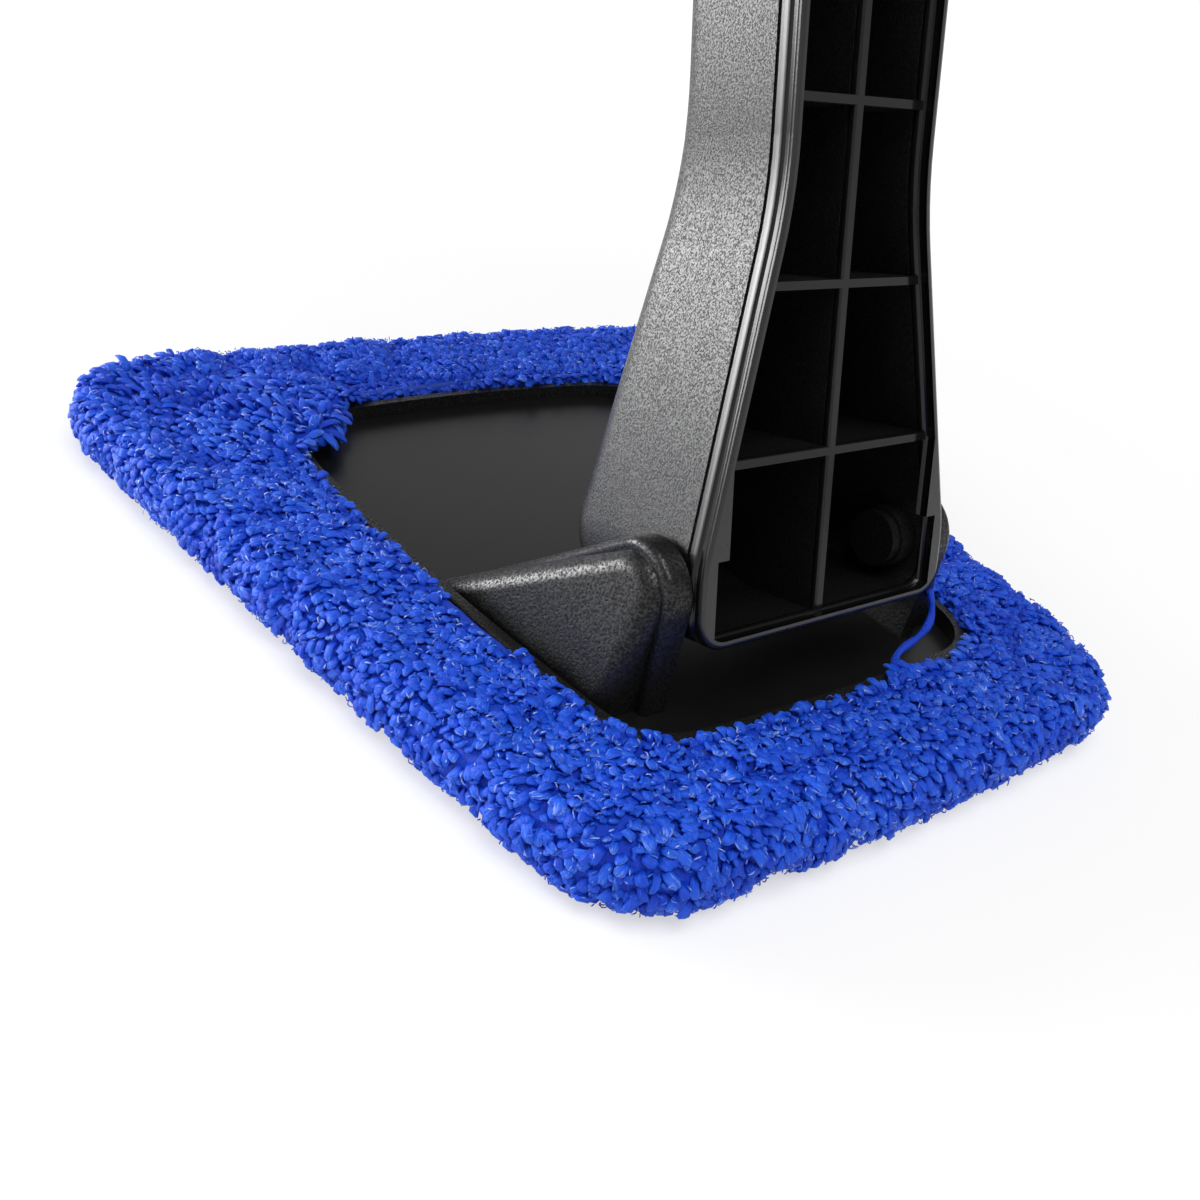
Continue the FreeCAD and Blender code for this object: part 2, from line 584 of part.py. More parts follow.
def make_latch_spring():
    """Compression spring behind the button: quarter-turn arcs swept by the wire's section."""
    radius = (SPRING_DIAMETER - SPRING_WIRE) / 2
    start = button_flange_back() - SPRING_ROOM + SEAT_GAP + SPRING_WIRE / 2
    rise = SPRING_ROOM - 2 * SEAT_GAP - SPRING_WIRE
    quarters = 4 * SPRING_TURNS

    def wire_point(step):
        angle = step * math.pi / 2
        return V(radius * math.cos(angle), start + rise * step / quarters,
                 BUTTON_HEIGHT_ON_HANDLE + radius * math.sin(angle))

    arcs = []
    for step in range(quarters):
        arc = Part.Arc(wire_point(step), wire_point(step + 0.5), wire_point(step + 1))
        arcs.append(arc.toShape())
    return swept_wire(Part.Wire(arcs), SPRING_WIRE)


def main():
    os.makedirs("parts", exist_ok=True)
    pieces = {
        "head_plate": make_head_plate(),
        "foam_pad": make_foam_pad(),
        "bonnet": make_bonnet(),
        "bonnet_elastic": elastic_loop(ELASTIC_DIAMETER),
        "pivot_pin_right": make_pivot_pin(),
        "pivot_pin_left": mirrored(make_pivot_pin()),
        "yoke": on_head(make_yoke()),
        "grip": on_head(make_grip()),
        "latch_button": on_head(make_latch_button()),
        "latch_spring": on_head(make_latch_spring()),
    }
    for name, shape in pieces.items():
        shape.exportStep("parts/" + name + ".step")
        print(name, "solids", len(shape.Solids), "valid", shape.isValid(), "volume", round(shape.Volume))


main()
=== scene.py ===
# %% [markdown]
# # A window scrubber with a microfibre bonnet
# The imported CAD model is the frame: every piece below is placed from it, in metres, with +Z up,
# +X along the pivot and +Y towards the wide end of the head.  The rigid pieces stay as they are and
# get finishes; the soft ones are replaced by surfaces that numpy works out.

# %% Load the frame and keep its box
import bpy
import json
import numpy as np
from collections import namedtuple
from mathutils import Matrix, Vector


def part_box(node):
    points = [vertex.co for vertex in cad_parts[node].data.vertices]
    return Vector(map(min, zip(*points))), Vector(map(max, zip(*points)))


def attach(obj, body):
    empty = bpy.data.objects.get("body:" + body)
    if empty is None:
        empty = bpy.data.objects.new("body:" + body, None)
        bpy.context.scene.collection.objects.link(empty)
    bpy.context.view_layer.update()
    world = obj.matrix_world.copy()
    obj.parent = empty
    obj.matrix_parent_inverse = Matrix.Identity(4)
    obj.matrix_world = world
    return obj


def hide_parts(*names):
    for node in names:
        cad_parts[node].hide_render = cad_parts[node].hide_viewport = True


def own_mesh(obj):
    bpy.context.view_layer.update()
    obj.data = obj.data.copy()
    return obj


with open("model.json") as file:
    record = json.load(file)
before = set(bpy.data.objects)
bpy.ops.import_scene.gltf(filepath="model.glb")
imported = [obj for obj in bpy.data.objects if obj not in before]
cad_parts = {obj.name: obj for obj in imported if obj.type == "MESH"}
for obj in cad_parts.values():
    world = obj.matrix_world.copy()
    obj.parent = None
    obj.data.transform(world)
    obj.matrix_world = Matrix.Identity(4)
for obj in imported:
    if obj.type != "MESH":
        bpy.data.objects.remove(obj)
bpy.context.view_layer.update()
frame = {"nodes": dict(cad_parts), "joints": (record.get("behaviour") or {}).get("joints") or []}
MM = 0.001
FULL_TURN = 2 * np.pi
UP = np.array((0.0, 0.0, 1.0))
JOINT = {joint["name"]: joint for joint in frame["joints"]}
print("nodes:", sorted(frame["nodes"]))
print("joints:", sorted(JOINT))

# %% [markdown]
# ## Camera
# The picture was taken from close by, over the narrow end's left corner, with the camera tipped a
# little to one side.  A camera is often aimed with a target point.  A place and three turns describe
# this one better, because the roll is part of it.

# %% Camera
EYE = np.array((-146.65, -161.78, 125.44)) * MM
YAW = 0.742          # from +Y towards +X, in radians
PITCH = 0.557        # below the horizon
ROLL = 0.228         # anticlockwise
SENSOR_MM = 36.0
LENS_MM = 36.0       # as long as the sensor is wide, so the view is as wide as it is far
NEAREST_SEEN = 1 * MM


def standing(right, up, back, place):
    """Matrix of an object at a place, turned so that its own axes are the three directions."""
    pose = np.eye(4)
    pose[:3, :3] = np.column_stack((right, up, back))
    pose[:3, 3] = place
    return Matrix(pose.tolist())


forward = np.array((np.sin(YAW) * np.cos(PITCH), np.cos(YAW) * np.cos(PITCH), -np.sin(PITCH)))
level_right = np.array((np.cos(YAW), -np.sin(YAW), 0.0))
level_up = np.cross(level_right, forward)
camera_right = np.cos(ROLL) * level_right + np.sin(ROLL) * level_up
camera_up = -np.sin(ROLL) * level_right + np.cos(ROLL) * level_up

camera_data = bpy.data.cameras.new("camera")
camera_data.sensor_width = SENSOR_MM
camera_data.lens = LENS_MM
camera_data.clip_start = NEAREST_SEEN
camera = bpy.data.objects.new("camera", camera_data)
bpy.context.scene.collection.objects.link(camera)
camera.matrix_world = standing(camera_right, camera_up, -forward, EYE)
bpy.context.scene.camera = camera
bpy.context.scene.view_settings.view_transform = "Standard"
print("camera at", np.round(EYE, 3).tolist())

# %% [markdown]
# ## A shorthand for shader nodes
# Node trees are hard to read as lists of links.  One small class wraps an output socket, so that
# `1 - mask` or `a * b` adds the Math node that it stands for, and one method makes any other node
# from its type, its settings and what goes into its sockets.

# %% The wire class


class Wire:
    """An output socket of a material, whose sums and products are Math nodes."""

    def __init__(self, tree, socket=None):
        self.tree = tree
        self.socket = socket

    def node(self, kind, settings=None, inputs=None, output=0):
        """Adds a node: settings first, then each socket's value or link; returns one output."""
        made = self.tree.nodes.new(kind)
        for name, value in (settings or {}).items():
            if name == "stops":
                self.set_stops(made.color_ramp, value)
            else:
                setattr(made, name, value)
        for key, value in (inputs or {}).items():
            if isinstance(value, Wire):
                self.tree.links.new(value.socket, made.inputs[key])
            else:
                made.inputs[key].default_value = value
        return Wire(self.tree, made.outputs[output] if made.outputs else None)

    @staticmethod
    def set_stops(ramp, stops):
        """Writes a ramp's stops, given as (place, grey level) pairs in order."""
        while len(ramp.elements) < len(stops):
            ramp.elements.new(1.0)
        for element, (place, level) in zip(ramp.elements, stops):
            element.position = place
            element.color = (level, level, level, 1.0)

    def math(self, operation, first, second):
        return self.node("ShaderNodeMath", {"operation": operation}, {0: first, 1: second})

    def __add__(self, other):
        return self.math("ADD", self, other)

    def __radd__(self, other):
        return self.math("ADD", other, self)

    def __sub__(self, other):
        return self.math("SUBTRACT", self, other)

    def __rsub__(self, other):
        return self.math("SUBTRACT", other, self)

    def __mul__(self, other):
        return self.math("MULTIPLY", self, other)

    def __rmul__(self, other):
        return self.math("MULTIPLY", other, self)

    def ramp(self, *stops):
        """This value through a ramp of (place, level) stops."""
        return self.node("ShaderNodeValToRGB", {"stops": stops}, {"Fac": self})

    def blend(self, low, high):
        """From one colour to another as this value goes from 0 to 1."""
        return self.node("ShaderNodeMix", {"data_type": "RGBA"}, {0: self, 6: low, 7: high}, 2)

    def noise(self, place, scale, detail=2.0, roughness=0.5):
        """Smooth random levels about 0.5, with `scale` lumps to a unit of the place."""
        sockets = {"Vector": place, "Scale": scale, "Detail": detail, "Roughness": roughness}
        return self.node("ShaderNodeTexNoise", None, sockets)

    def vector(self, operation, first, second=None, output=0):
        """A Vector Math node on a vector and, where it takes one, a second vector."""
        sockets = {0: first} if second is None else {0: first, 1: second}
        return self.node("ShaderNodeVectorMath", {"operation": operation}, sockets, output)

    def height_of(self, place):
        return self.node("ShaderNodeSeparateXYZ", None, {0: place}, "Z")

    def object_place(self):
        return self.node("ShaderNodeTexCoord", None, None, "Object")

    def camera_ray(self):
        return self.node("ShaderNodeLightPath", None, None, "Is Camera Ray")

    def attribute(self, name, output):
        return self.node("ShaderNodeAttribute", {"attribute_name": name}, None, output)

    def bump(self, height, distance):
        """A normal that leans with a height, `distance` metres from its low to its high level."""
        return self.node("ShaderNodeBump", None, {"Height": height, "Distance": distance, "Strength": 1.0})


def new_finish(name):
    """An empty material and a wire to start its nodes from."""
    material = bpy.data.materials.new(name)
    material.use_nodes = True
    material.node_tree.nodes.clear()
    return material, Wire(material.node_tree)


def close_finish(start, **sockets):
    """Ends a material in a Principled shader, whose sockets are given with _ for spaces."""
    named = {key.replace("_", " "): value for key, value in sockets.items()}
    shader = start.node("ShaderNodeBsdfPrincipled", None, named)
    start.node("ShaderNodeOutputMaterial", None, {"Surface": shader})


def rgb(red, green, blue):
    return (red, green, blue, 1.0)


# %% [markdown]
# ## Moulded black plastic
# The hard parts are black plastic from spark-eroded moulds: fine pits scatter the light, so the
# faces read as satin.  A picture of such a surface could be wrapped round each part, but it would
# show seams and repeat.  Noise on the object's own coordinates does neither, and one recipe serves
# every part.  The tray's floor comes from a polished part of the mould, and so does the band behind
# the seam of the handle's flanks, where a bead and a groove are fine enough to be a bump.

# %% What moulded plastic has in common
CLOUDS = 60.0                # slow changes of gloss and tone, lumps to the metre
CLOUD_DULLING = 0.10         # what they add to the roughness
SPARK_DULLING = 0.06         # what the pits add to it
SPARK_CONTRAST = 0.22        # and how much more at the rim of a pit than in it
DARK_SHARE = 0.7             # of the colour, in the dark clouds
PIT_SHINE = ((0.42, 0.0), (0.6, 1.0))   # coat by the height in a pit: its rim shines
POLISHED_COAT = 0.5          # coat of a face without pits
POLISHED_PITS = 0.04         # share of the pits' depth that is left there

PIVOT = np.array(JOINT["head_pivot"]["pos_m"])
TO_BACK = np.array(JOINT["button_press"]["axis"])   # the button slides square to the open back
SEAM_DEPTH = 6.4 * MM        # from the pivot back to the seam along the handle's flanks
BAND_WIDTH = 3.9 * MM        # from the seam to the edge of the open back
BEAD_HEIGHT = 0.9 * MM
# Height of the bead and depth of shade in the groove, each by the share of the band's width.
BEAD = ((0.0, 0.0), (0.08, 0.8), (0.16, 1.0), (0.3, 0.95), (0.5, 0.2), (0.62, 0.0), (0.85, 0.1), (1.0, 0.6))
SHADE = ((0.3, 0.0), (0.42, 1.0), (0.8, 1.0), (0.96, 0.3))
SHADE_POLISH = 0.18          # what the groove takes off the roughness


def across_band(start, place):
    """Share of the band behind the handle's seam: 0 at the seam, 1 at the open back."""
    depth = start.vector("DOT_PRODUCT", place, TO_BACK.tolist(), "Value")
    return (depth - float(PIVOT @ TO_BACK + SEAM_DEPTH)) * (1 / BAND_WIDTH)


def moulded_plastic(name, colour, gloss, pit_size, pit_depth, shine, smooth_below=-1.0, bead_height=0.0):
    """Black plastic: pits of one size as bump and as shine, and slow changes of roughness.

    Faces lower than smooth_below, in metres, are polished.  So is the band behind the handle's seam,
    if it has a bead: a rounded rise along the seam, and behind it a groove that keeps little light.
    """
    material, start = new_finish(name)
    place = start.object_place()
    sparked = start.math("GREATER_THAN", start.height_of(place), smooth_below)
    bead, polish, flat_coat = 0.0, 0.0, POLISHED_COAT
    if bead_height:
        band = across_band(start, place)
        shade = band.ramp(*SHADE)
        sparked = sparked * start.math("LESS_THAN", band, 0.0)
        bead = band.ramp(*BEAD) * (bead_height / pit_depth)
        polish = SHADE_POLISH * shade
        flat_coat = 1.0 - shade
    pits = start.noise(place, 1 / pit_size, detail=3.0, roughness=0.65)
    cloud = start.noise(place, CLOUDS, detail=3.0, roughness=0.6)
    dulling = CLOUD_DULLING * cloud + (SPARK_DULLING + SPARK_CONTRAST * (pits - 0.5)) * sparked
    dark = rgb(*(DARK_SHARE * level for level in colour))
    relief = pits * (POLISHED_PITS + (1 - POLISHED_PITS) * sparked) + bead
    close_finish(
        start,
        Base_Color=cloud.ramp((0.3, 0.0), (0.75, 1.0)).blend(dark, rgb(*colour)),
        Roughness=gloss + dulling - polish,
        Specular_IOR_Level=shine,
        Coat_Weight=flat_coat + sparked * (pits.ramp(*PIT_SHINE) - flat_coat),
        Coat_Roughness=0.3,
        Normal=start.bump(relief, pit_depth),
    )
    return material


# %% Plastic finishes
TRAY_SMOOTH = 9.4 * MM       # the tray's floor lies under this height, and the ears over it
HANDLE_BLACK = (0.006, 0.006, 0.006)
FINISH_OF = {
    "head_plate": moulded_plastic(
        "head_black", (0.005, 0.005, 0.0052), gloss=0.30, pit_size=0.5 * MM, pit_depth=0.2 * MM,
        shine=0.2, smooth_below=TRAY_SMOOTH),
    "yoke": moulded_plastic(
        "handle_black", HANDLE_BLACK, gloss=0.28, pit_size=0.36 * MM, pit_depth=0.16 * MM,
        shine=0.36, bead_height=BEAD_HEIGHT),
    "grip": moulded_plastic(
        "grip_black", HANDLE_BLACK, gloss=0.30, pit_size=0.36 * MM, pit_depth=0.16 * MM, shine=0.36),
    "pivot_pin_left": moulded_plastic(
        "pin_black", HANDLE_BLACK, gloss=0.26, pit_size=0.3 * MM, pit_depth=0.01 * MM, shine=0.4),
    "latch_button": moulded_plastic(
        "button_black", (0.012, 0.012, 0.012), gloss=0.4, pit_size=0.35 * MM, pit_depth=0.04 * MM,
        shine=0.4),
}
FINISH_OF["pivot_pin_right"] = FINISH_OF["pivot_pin_left"]
print("plastic on", sorted(FINISH_OF))

# %% [markdown]
# ## Drawn steel
# The latch spring is bright wire with fine marks from the drawing die.  Plain metal would look like
# a mirror, so fine noise changes its colour and roughness a little.

# %% Drawn steel for the latch spring
DRAW_LINES = 2500.0          # to the metre
FINISH_OF["latch_spring"], steel = new_finish("spring_steel")
draw_lines = steel.noise(steel.object_place(), DRAW_LINES, detail=4.0, roughness=0.7)
close_finish(
    steel,
    Base_Color=draw_lines.blend(rgb(0.42, 0.42, 0.43), rgb(0.62, 0.62, 0.63)),
    Metallic=1.0,
    Roughness=0.25 + 0.2 * draw_lines,
    Normal=steel.bump(draw_lines, 0.005 * MM),
)

for node_name, finish in FINISH_OF.items():
    node_mesh = frame["nodes"][node_name].data
    node_mesh.materials.clear()
    node_mesh.materials.append(finish)
print("finishes on", sorted(FINISH_OF))

# %% [markdown]
# ## The head's outlines, read from the frame
# The bonnet, its hem, the elastic and the foam follow the head's bowed trapezoid.  It could be drawn
# again here, and would then have to be kept in step with the CAD model.  Its outer edge and its mouth
# can be seen whole from the middle of the head, so each is one radius for every bearing, and reading
# that radius from the CAD bonnet keeps the soft pieces on the frame.

# %% Outlines
LAP_BASE = 10.5 * MM         # underside of the bonnet's turned-over band
LAP_TOLERANCE = 0.05 * MM    # for points on it
LAP_LEAST = 15 * MM          # the lap's points that are further in from the edge are on the mouth
SIDE_LOW, SIDE_HIGH = 6.3 * MM, 7.1 * MM   # heights between which the bonnet's side is upright
BEARING_COUNT = 1440
BEARINGS = np.linspace(-np.pi, np.pi, BEARING_COUNT, endpoint=False)


def node_points(node):
    """A CAD node's points, as an array of rows."""
    data = frame["nodes"][node].data
    flat = np.empty(3 * len(data.vertices), np.float32)
    data.vertices.foreach_get("co", flat)
    return flat.reshape(-1, 3).astype(float)


def bearing_of(points):
    return np.arctan2(points[..., 1], points[..., 0])


def radius_of(points):
    return np.hypot(points[..., 0], points[..., 1])


def round_middle(radius, bearing, height):
    """Points at a radius and a bearing from the middle of the head, and at a height."""
    return np.stack(np.broadcast_arrays(radius * np.cos(bearing), radius * np.sin(bearing), height), axis=-1)


def radius_by_bearing(points):
    """Radius at each of BEARINGS, straight between the bearings of the given points."""
    bearing = bearing_of(points)
    order = np.argsort(bearing)
    return np.interp(BEARINGS, bearing[order], radius_of(points)[order], period=FULL_TURN)


def radius_at(bearing, radii):
    """A radius that is given for each of BEARINGS, at any bearing."""
    return np.interp(bearing, BEARINGS, radii, period=FULL_TURN)


bonnet_points = node_points("bonnet")
on_side = (bonnet_points[:, 2] > SIDE_LOW) & (bonnet_points[:, 2] < SIDE_HIGH)
EDGE_RADIUS = radius_by_bearing(bonnet_points[on_side])
lap = bonnet_points[np.abs(bonnet_points[:, 2] - LAP_BASE) < LAP_TOLERANCE]
on_mouth = radius_of(lap) < radius_at(bearing_of(lap), EDGE_RADIUS) - LAP_LEAST
MOUTH_RADIUS = radius_by_bearing(lap[on_mouth])
for outline, radii in (("edge", EDGE_RADIUS), ("mouth", MOUTH_RADIUS)):
    print(outline, "radius in mm:", np.round([radii.min() / MM, radii.max() / MM], 1).tolist())

# %% [markdown]
# ## The latch spring
# The button pushes the coil together.  Here the coil's points are read, and the spring gets a mesh
# of its own.

# %% The spring's points and a mesh of its own
coil = node_points("latch_spring")
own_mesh(frame["nodes"]["latch_spring"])

# %% [markdown]
# ## Meshes from arrays
# A mesh can be built from Python lists, vertex by vertex, which is slow for a pile with so many
# faces.  Blender also takes whole arrays, so these helpers work out points and faces as arrays and
# hand them over in one go.

# %% Mesh helpers


def new_piece(name, points, face_sets, finish):
    """A smooth mesh object from an array of points and arrays of faces, riding on the head."""
    mesh = bpy.data.meshes.new(name)
    corners = np.concatenate([faces.ravel() for faces in face_sets]).astype(np.int32)
    sizes = np.concatenate([np.full(len(faces), faces.shape[1]) for faces in face_sets])
    mesh.vertices.add(len(points))
    mesh.vertices.foreach_set("co", points.astype(np.float32).ravel())
    mesh.loops.add(len(corners))
    mesh.loops.foreach_set("vertex_index", corners)
    mesh.polygons.add(len(sizes))
    mesh.polygons.foreach_set("loop_start", (np.cumsum(sizes) - sizes).astype(np.int32))
    mesh.polygons.foreach_set("use_smooth", np.ones(len(sizes), bool))
    mesh.update(calc_edges=True)
    mesh.validate()
    mesh.materials.append(finish)
    piece = bpy.data.objects.new(name, mesh)
    bpy.context.scene.collection.objects.link(piece)
    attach(piece, "head")
    print(name, len(points), "points,", int((sizes - 2).sum()), "triangles")
    return piece


def grid_faces(rows, columns):
    """Quads between neighbours of a grid of points whose last column joins the first."""
    index = np.arange(rows * columns).reshape(rows, columns)
    beside = np.roll(index, -1, axis=1)
    return np.stack((index[:-1], beside[:-1], beside[1:], index[1:]), axis=-1).reshape(-1, 4)


def ring_turns(sides):
    """Angles of the points round a ring."""
    return np.linspace(0, FULL_TURN, sides, endpoint=False)


def unit(vectors):
    """Vectors of length 1, or 0 where there is no direction."""
    return vectors / (np.linalg.norm(vectors, axis=-1, keepdims=True) + 1e-12)


def capped_faces(rings, sides):
    """Faces of a tube that ends in a point at both ends: quads, and a fan of triangles at each end.

    Its points are the first end, the rings one after another, and the last end.
    """
    first = np.arange(sides) + 1
    last = first + (rings - 1) * sides
    foot = np.stack((np.zeros(sides, int), np.roll(first, -1), first), axis=-1)
    tip = np.stack((np.full(sides, rings * sides + 1), last, np.roll(last, -1)), axis=-1)
    return [grid_faces(rings, sides) + 1, np.concatenate((foot, tip))]


# %% [markdown]
# ## The bonnet's cloth
# The cloth is stretched over the head, and elastic gathers its rolled hem round the mouth.  A cloth
# simulation would find that shape too; stretched cloth follows what is under it, so a formula is
# enough.  It is a profile carried round the head: up round the hem, across the turned-over band, over
# the shoulder, down the side, and in under the sole to the middle.  The profile's places are shares
# of the band's width, insets from the edge and heights; the bearing gives the radii.

# %% Cloth profile
PILE = 1.3 * MM              # from the cloth to the outside of the CAD bonnet
SOLE_CLOTH = 1.6 * MM        # height of the cloth over what the sole lies on
TOP_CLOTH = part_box("bonnet")[1].z - PILE
SHOULDER = 5.7 * MM          # radius of the profile over the top edge
UNDER = 4.6 * MM             # and under the bottom edge
HEM_HALF = (TOP_CLOTH - LAP_BASE) / 2
HEM_REACH = 1.1 * MM         # depth of the hem's rounded edge
SOLE_START = 0.97            # first ring of the sole, as a share of its radius
HEM_ROWS, BAND_ROWS, CORNER_ROWS, SOLE_ROWS = 7, 15, 6, 30

hem_turn = np.linspace(-np.pi / 2, np.pi / 2, HEM_ROWS)
hem_lead = HEM_REACH * (1 - np.cos(hem_turn))
hem_height = LAP_BASE + HEM_HALF * (1 + np.sin(hem_turn))
band_share = np.linspace(0, 1, BAND_ROWS + 1)[1:]
quarter = np.linspace(0, np.pi / 2, CORNER_ROWS + 1)[1:]
shoulder_inset = SHOULDER * (1 - np.sin(quarter))
shoulder_height = TOP_CLOTH - SHOULDER * (1 - np.cos(quarter))
under_inset = UNDER * (1 - np.cos(quarter))
under_height = SOLE_CLOTH + UNDER * (1 - np.sin(quarter))
sole_shrink = np.linspace(SOLE_START, 0, SOLE_ROWS)


def profile_rows(lead, share, inset, height, shrink):
    """Rows of the profile: each of the five is one value or one for every row."""
    return np.column_stack(np.broadcast_arrays(lead, share, inset, height, shrink))


stations = np.concatenate((
    profile_rows(hem_lead, 0, SHOULDER, hem_height, 1),
    profile_rows(HEM_REACH, band_share, SHOULDER, TOP_CLOTH, 1),
    profile_rows(0, 1, shoulder_inset, shoulder_height, 1),
    profile_rows(0, 1, under_inset, under_height, 1),
    profile_rows(0, 1, UNDER, SOLE_CLOTH, sole_shrink),
))
# Numbers of the stations where the hem is furthest in, the band starts, the side ends and all ends.
HEM_FRONT = (HEM_ROWS - 1) / 2
BAND_START = HEM_ROWS - 1
SIDE_END = HEM_ROWS + BAND_ROWS + 2 * CORNER_ROWS - 1
LAST = len(stations) - 1
print("profile of", len(stations), "stations; the side ends at", SIDE_END)

# %% The cloth as a function of bearing and station
PULLED_CORNER = 2.33         # bearing of the corner where the hem is pulled in over the rim
PULL = 6.5 * MM
PULL_HALF = 0.17             # half width of that stretch, in radians
PULL_RISE = 1.8 * MM         # the hem lies on the rim there, and not against it
PULL_RISEN = 1 * MM          # pull from which it does
STEP = 1e-3                  # small step of a bearing or a station, for directions


def angle_from(bearing, middle):
    """How far a bearing lies from another one, the short way round."""
    return np.angle(np.exp(1j * (bearing - middle)))


def cloth(bearing, across):
    """Point of the cloth at a bearing and a station number.

    The station gives a lead a, a share w of the band, an inset d, a height z and a shrink k.  The
    radius is k times a mix of the mouth's radius plus the lead (share 1 - w) and the edge's radius
    less the inset (share w).  At one corner the mouth's radius is less and the height more.
    """
    number = np.arange(len(stations))
    lead, share, inset, height, shrink = (np.interp(across, number, column) for column in stations.T)
    pull = PULL * np.exp(-(angle_from(bearing, PULLED_CORNER) / PULL_HALF) ** 2)
    mouth = radius_at(bearing, MOUTH_RADIUS) - pull + lead
    edge = radius_at(bearing, EDGE_RADIUS) - PILE - inset
    radius = shrink * ((1 - share) * mouth + share * edge)
    height = height + PULL_RISE * np.clip(pull / PULL_RISEN, 0, 1) * (1 - share) ** 3
    return round_middle(radius, bearing, height)


def down_profile(bearing, across):
    """Small step of the cloth along its profile, away from the mouth."""
    return cloth(bearing, across + STEP) - cloth(bearing, across - STEP)


def cloth_normal(bearing, across):
    """Outward normal: the cross product of small steps along the profile and round the head."""
    round_head = cloth(bearing + STEP, across) - cloth(bearing - STEP, across)
    return unit(np.cross(down_profile(bearing, across), round_head))


sample_stations = np.array((HEM_FRONT, BAND_START + BAND_ROWS / 2, (SIDE_END + LAST) / 2))
sample_normals = cloth_normal(np.zeros(3), sample_stations)
print("normals on the hem, on the band and under the sole:", np.round(sample_normals, 2).tolist())

# %% [markdown]
# ## Fleece
# Fleece isn't flat: it has lumps a few stitches wide, and creases where it was folded.  They
# could be painted as a bump, but the outline would stay smooth.  Here they move the cloth itself,
# and with it everything that is rooted on it.

# %% The fleece: lumps and creases
FIELD_WAVES = 8              # sine waves in a random field
LUMP_HEIGHT = 1.1 * MM
# Seed, share of the height and distance from lump to lump, for small lumps and for wide ones.
LUMPS = ((23, 0.4, 5 * MM), (24, 0.7, 11 * MM))
CREASE_DEPTH = 0.9 * MM
CREASE_WAVE = 36 * MM        # distance from crease to crease
CREASE_HALF = 0.07           # level of the field at which a crease fades
CREASE_PATCHES = 3.0         # how sharply the creased patches end
LINE_SEED, PATCH_SEED = 21, 22
MOUTH_TAPER = 4.0 * MM       # width round the mouth where the lumps fade


def smooth_field(points, seed, wave):
    """Slow random levels about 0: a sum of sine waves of about one wavelength in random directions."""
    field = np.random.default_rng(seed)
    ways = unit(field.normal(0, 1, (FIELD_WAVES, 3)))
    phases = field.uniform(0, FULL_TURN, FIELD_WAVES)
    return np.sin(points @ ways.T * (FULL_TURN / wave) + phases).mean(axis=-1)


def crease(points):
    """Depth of the cloth's creases, 0 to 1: narrow lines where a slow random field passes zero.

    A slower field leaves them out of some patches.
    """
    lines = np.exp(-(smooth_field(points, LINE_SEED, CREASE_WAVE) / CREASE_HALF) ** 2)
    patches = 0.5 + CREASE_PATCHES * smooth_field(points, PATCH_SEED, 2 * CREASE_WAVE)
    return lines * np.clip(patches, 0, 1)


def over_mouth(bearing, points):
    """1 at the edge of the mouth, falling to 0 a few millimetres from it; 0 under the head."""
    inner = cloth(bearing, np.full(np.shape(bearing), HEM_FRONT))
    from_mouth = radius_of(points) - radius_of(inner)
    return np.where(points[..., 2] > LAP_BASE, np.clip(1 - from_mouth / MOUTH_TAPER, 0, 1), 0.0)


def lumps(points):
    """Uneven height of the fleece, about -0.5 to 0.5: lumps a few stitches wide, and wider ones."""
    return sum(share * smooth_field(points, seed, wave) for seed, share, wave in LUMPS)


def fleece(bearing, across):
    """The cloth moved along its normal by the lumps and creases, with that normal."""
    flat = cloth(bearing, across)
    normal = cloth_normal(bearing, across)
    lift = LUMP_HEIGHT * lumps(flat) * (1 - over_mouth(bearing, flat)) - CREASE_DEPTH * crease(flat)
    return flat + normal * lift[..., None], normal


# %% [markdown]
# ## Microfibre
# Split microfibre looks dark deep down, where the light has to find its way between the fingers of
# yarn, and bright at their tips.  Tracing light through real fibres would show that, at a great cost.
# Here each finger carries how far up it a point lies, and the colour follows that as painted shade low
# down and painted light at the tip, with a painted highlight along its sides, painted shade in its
# creases and a painted glint on the lightest fibres.  Its fibres are streaks of noise that run along it.

# %% Microfibre finish
# Painted shade at a finger's root, the yarn's own blue, painted light at its tip and a painted glint.
ROOT_SHADE_BLUE = rgb(0.000, 0.034, 0.52)
ROYAL_BLUE = rgb(0.003, 0.080, 0.72)
LIT_TIP_BLUE = rgb(0.025, 0.16, 0.88)
PAINTED_GLINT_BLUE = rgb(0.40, 0.53, 1.00)
STREAKS = (3.6, 3.6, 0.8)    # to the millimetre, across the yarn, through it and along it
PATCHES = 95.0               # to the metre
# How much the place on a finger (painted shade and light), its streaks, its own tint (with painted
# shade in creases) and the patches change the colour.
RISE_PAINTED_SHADING, STREAK_LIGHT, TINT_LIGHT, PATCH_LIGHT = 0.75, 1.3, 0.45, 0.3
GLINT_SHIFT = 0.35           # taken off, so that the lightest fibres are within a ramp's reach

MICROFIBRE, pile = new_finish("microfibre_blue")
streak = pile.noise(pile.vector("MULTIPLY", pile.attribute("fibre", "Vector"), STREAKS), 1.0, 3.0, 0.65)
patch = pile.noise(pile.object_place(), PATCHES)
# Level of the colour: painted shade and light from the rise, and the streaks, tints and patches.
light = RISE_PAINTED_SHADING * pile.attribute("rise", "Fac") + STREAK_LIGHT * (streak - 0.5)
light = light + TINT_LIGHT * (pile.attribute("tint", "Fac") - 0.5) + PATCH_LIGHT * (patch - 0.5)
low_mix = light.ramp((0.0, 0.0), (0.5, 1.0)).blend(ROOT_SHADE_BLUE, ROYAL_BLUE)
high_mix = light.ramp((0.45, 0.0), (0.95, 1.0)).blend(low_mix, LIT_TIP_BLUE)
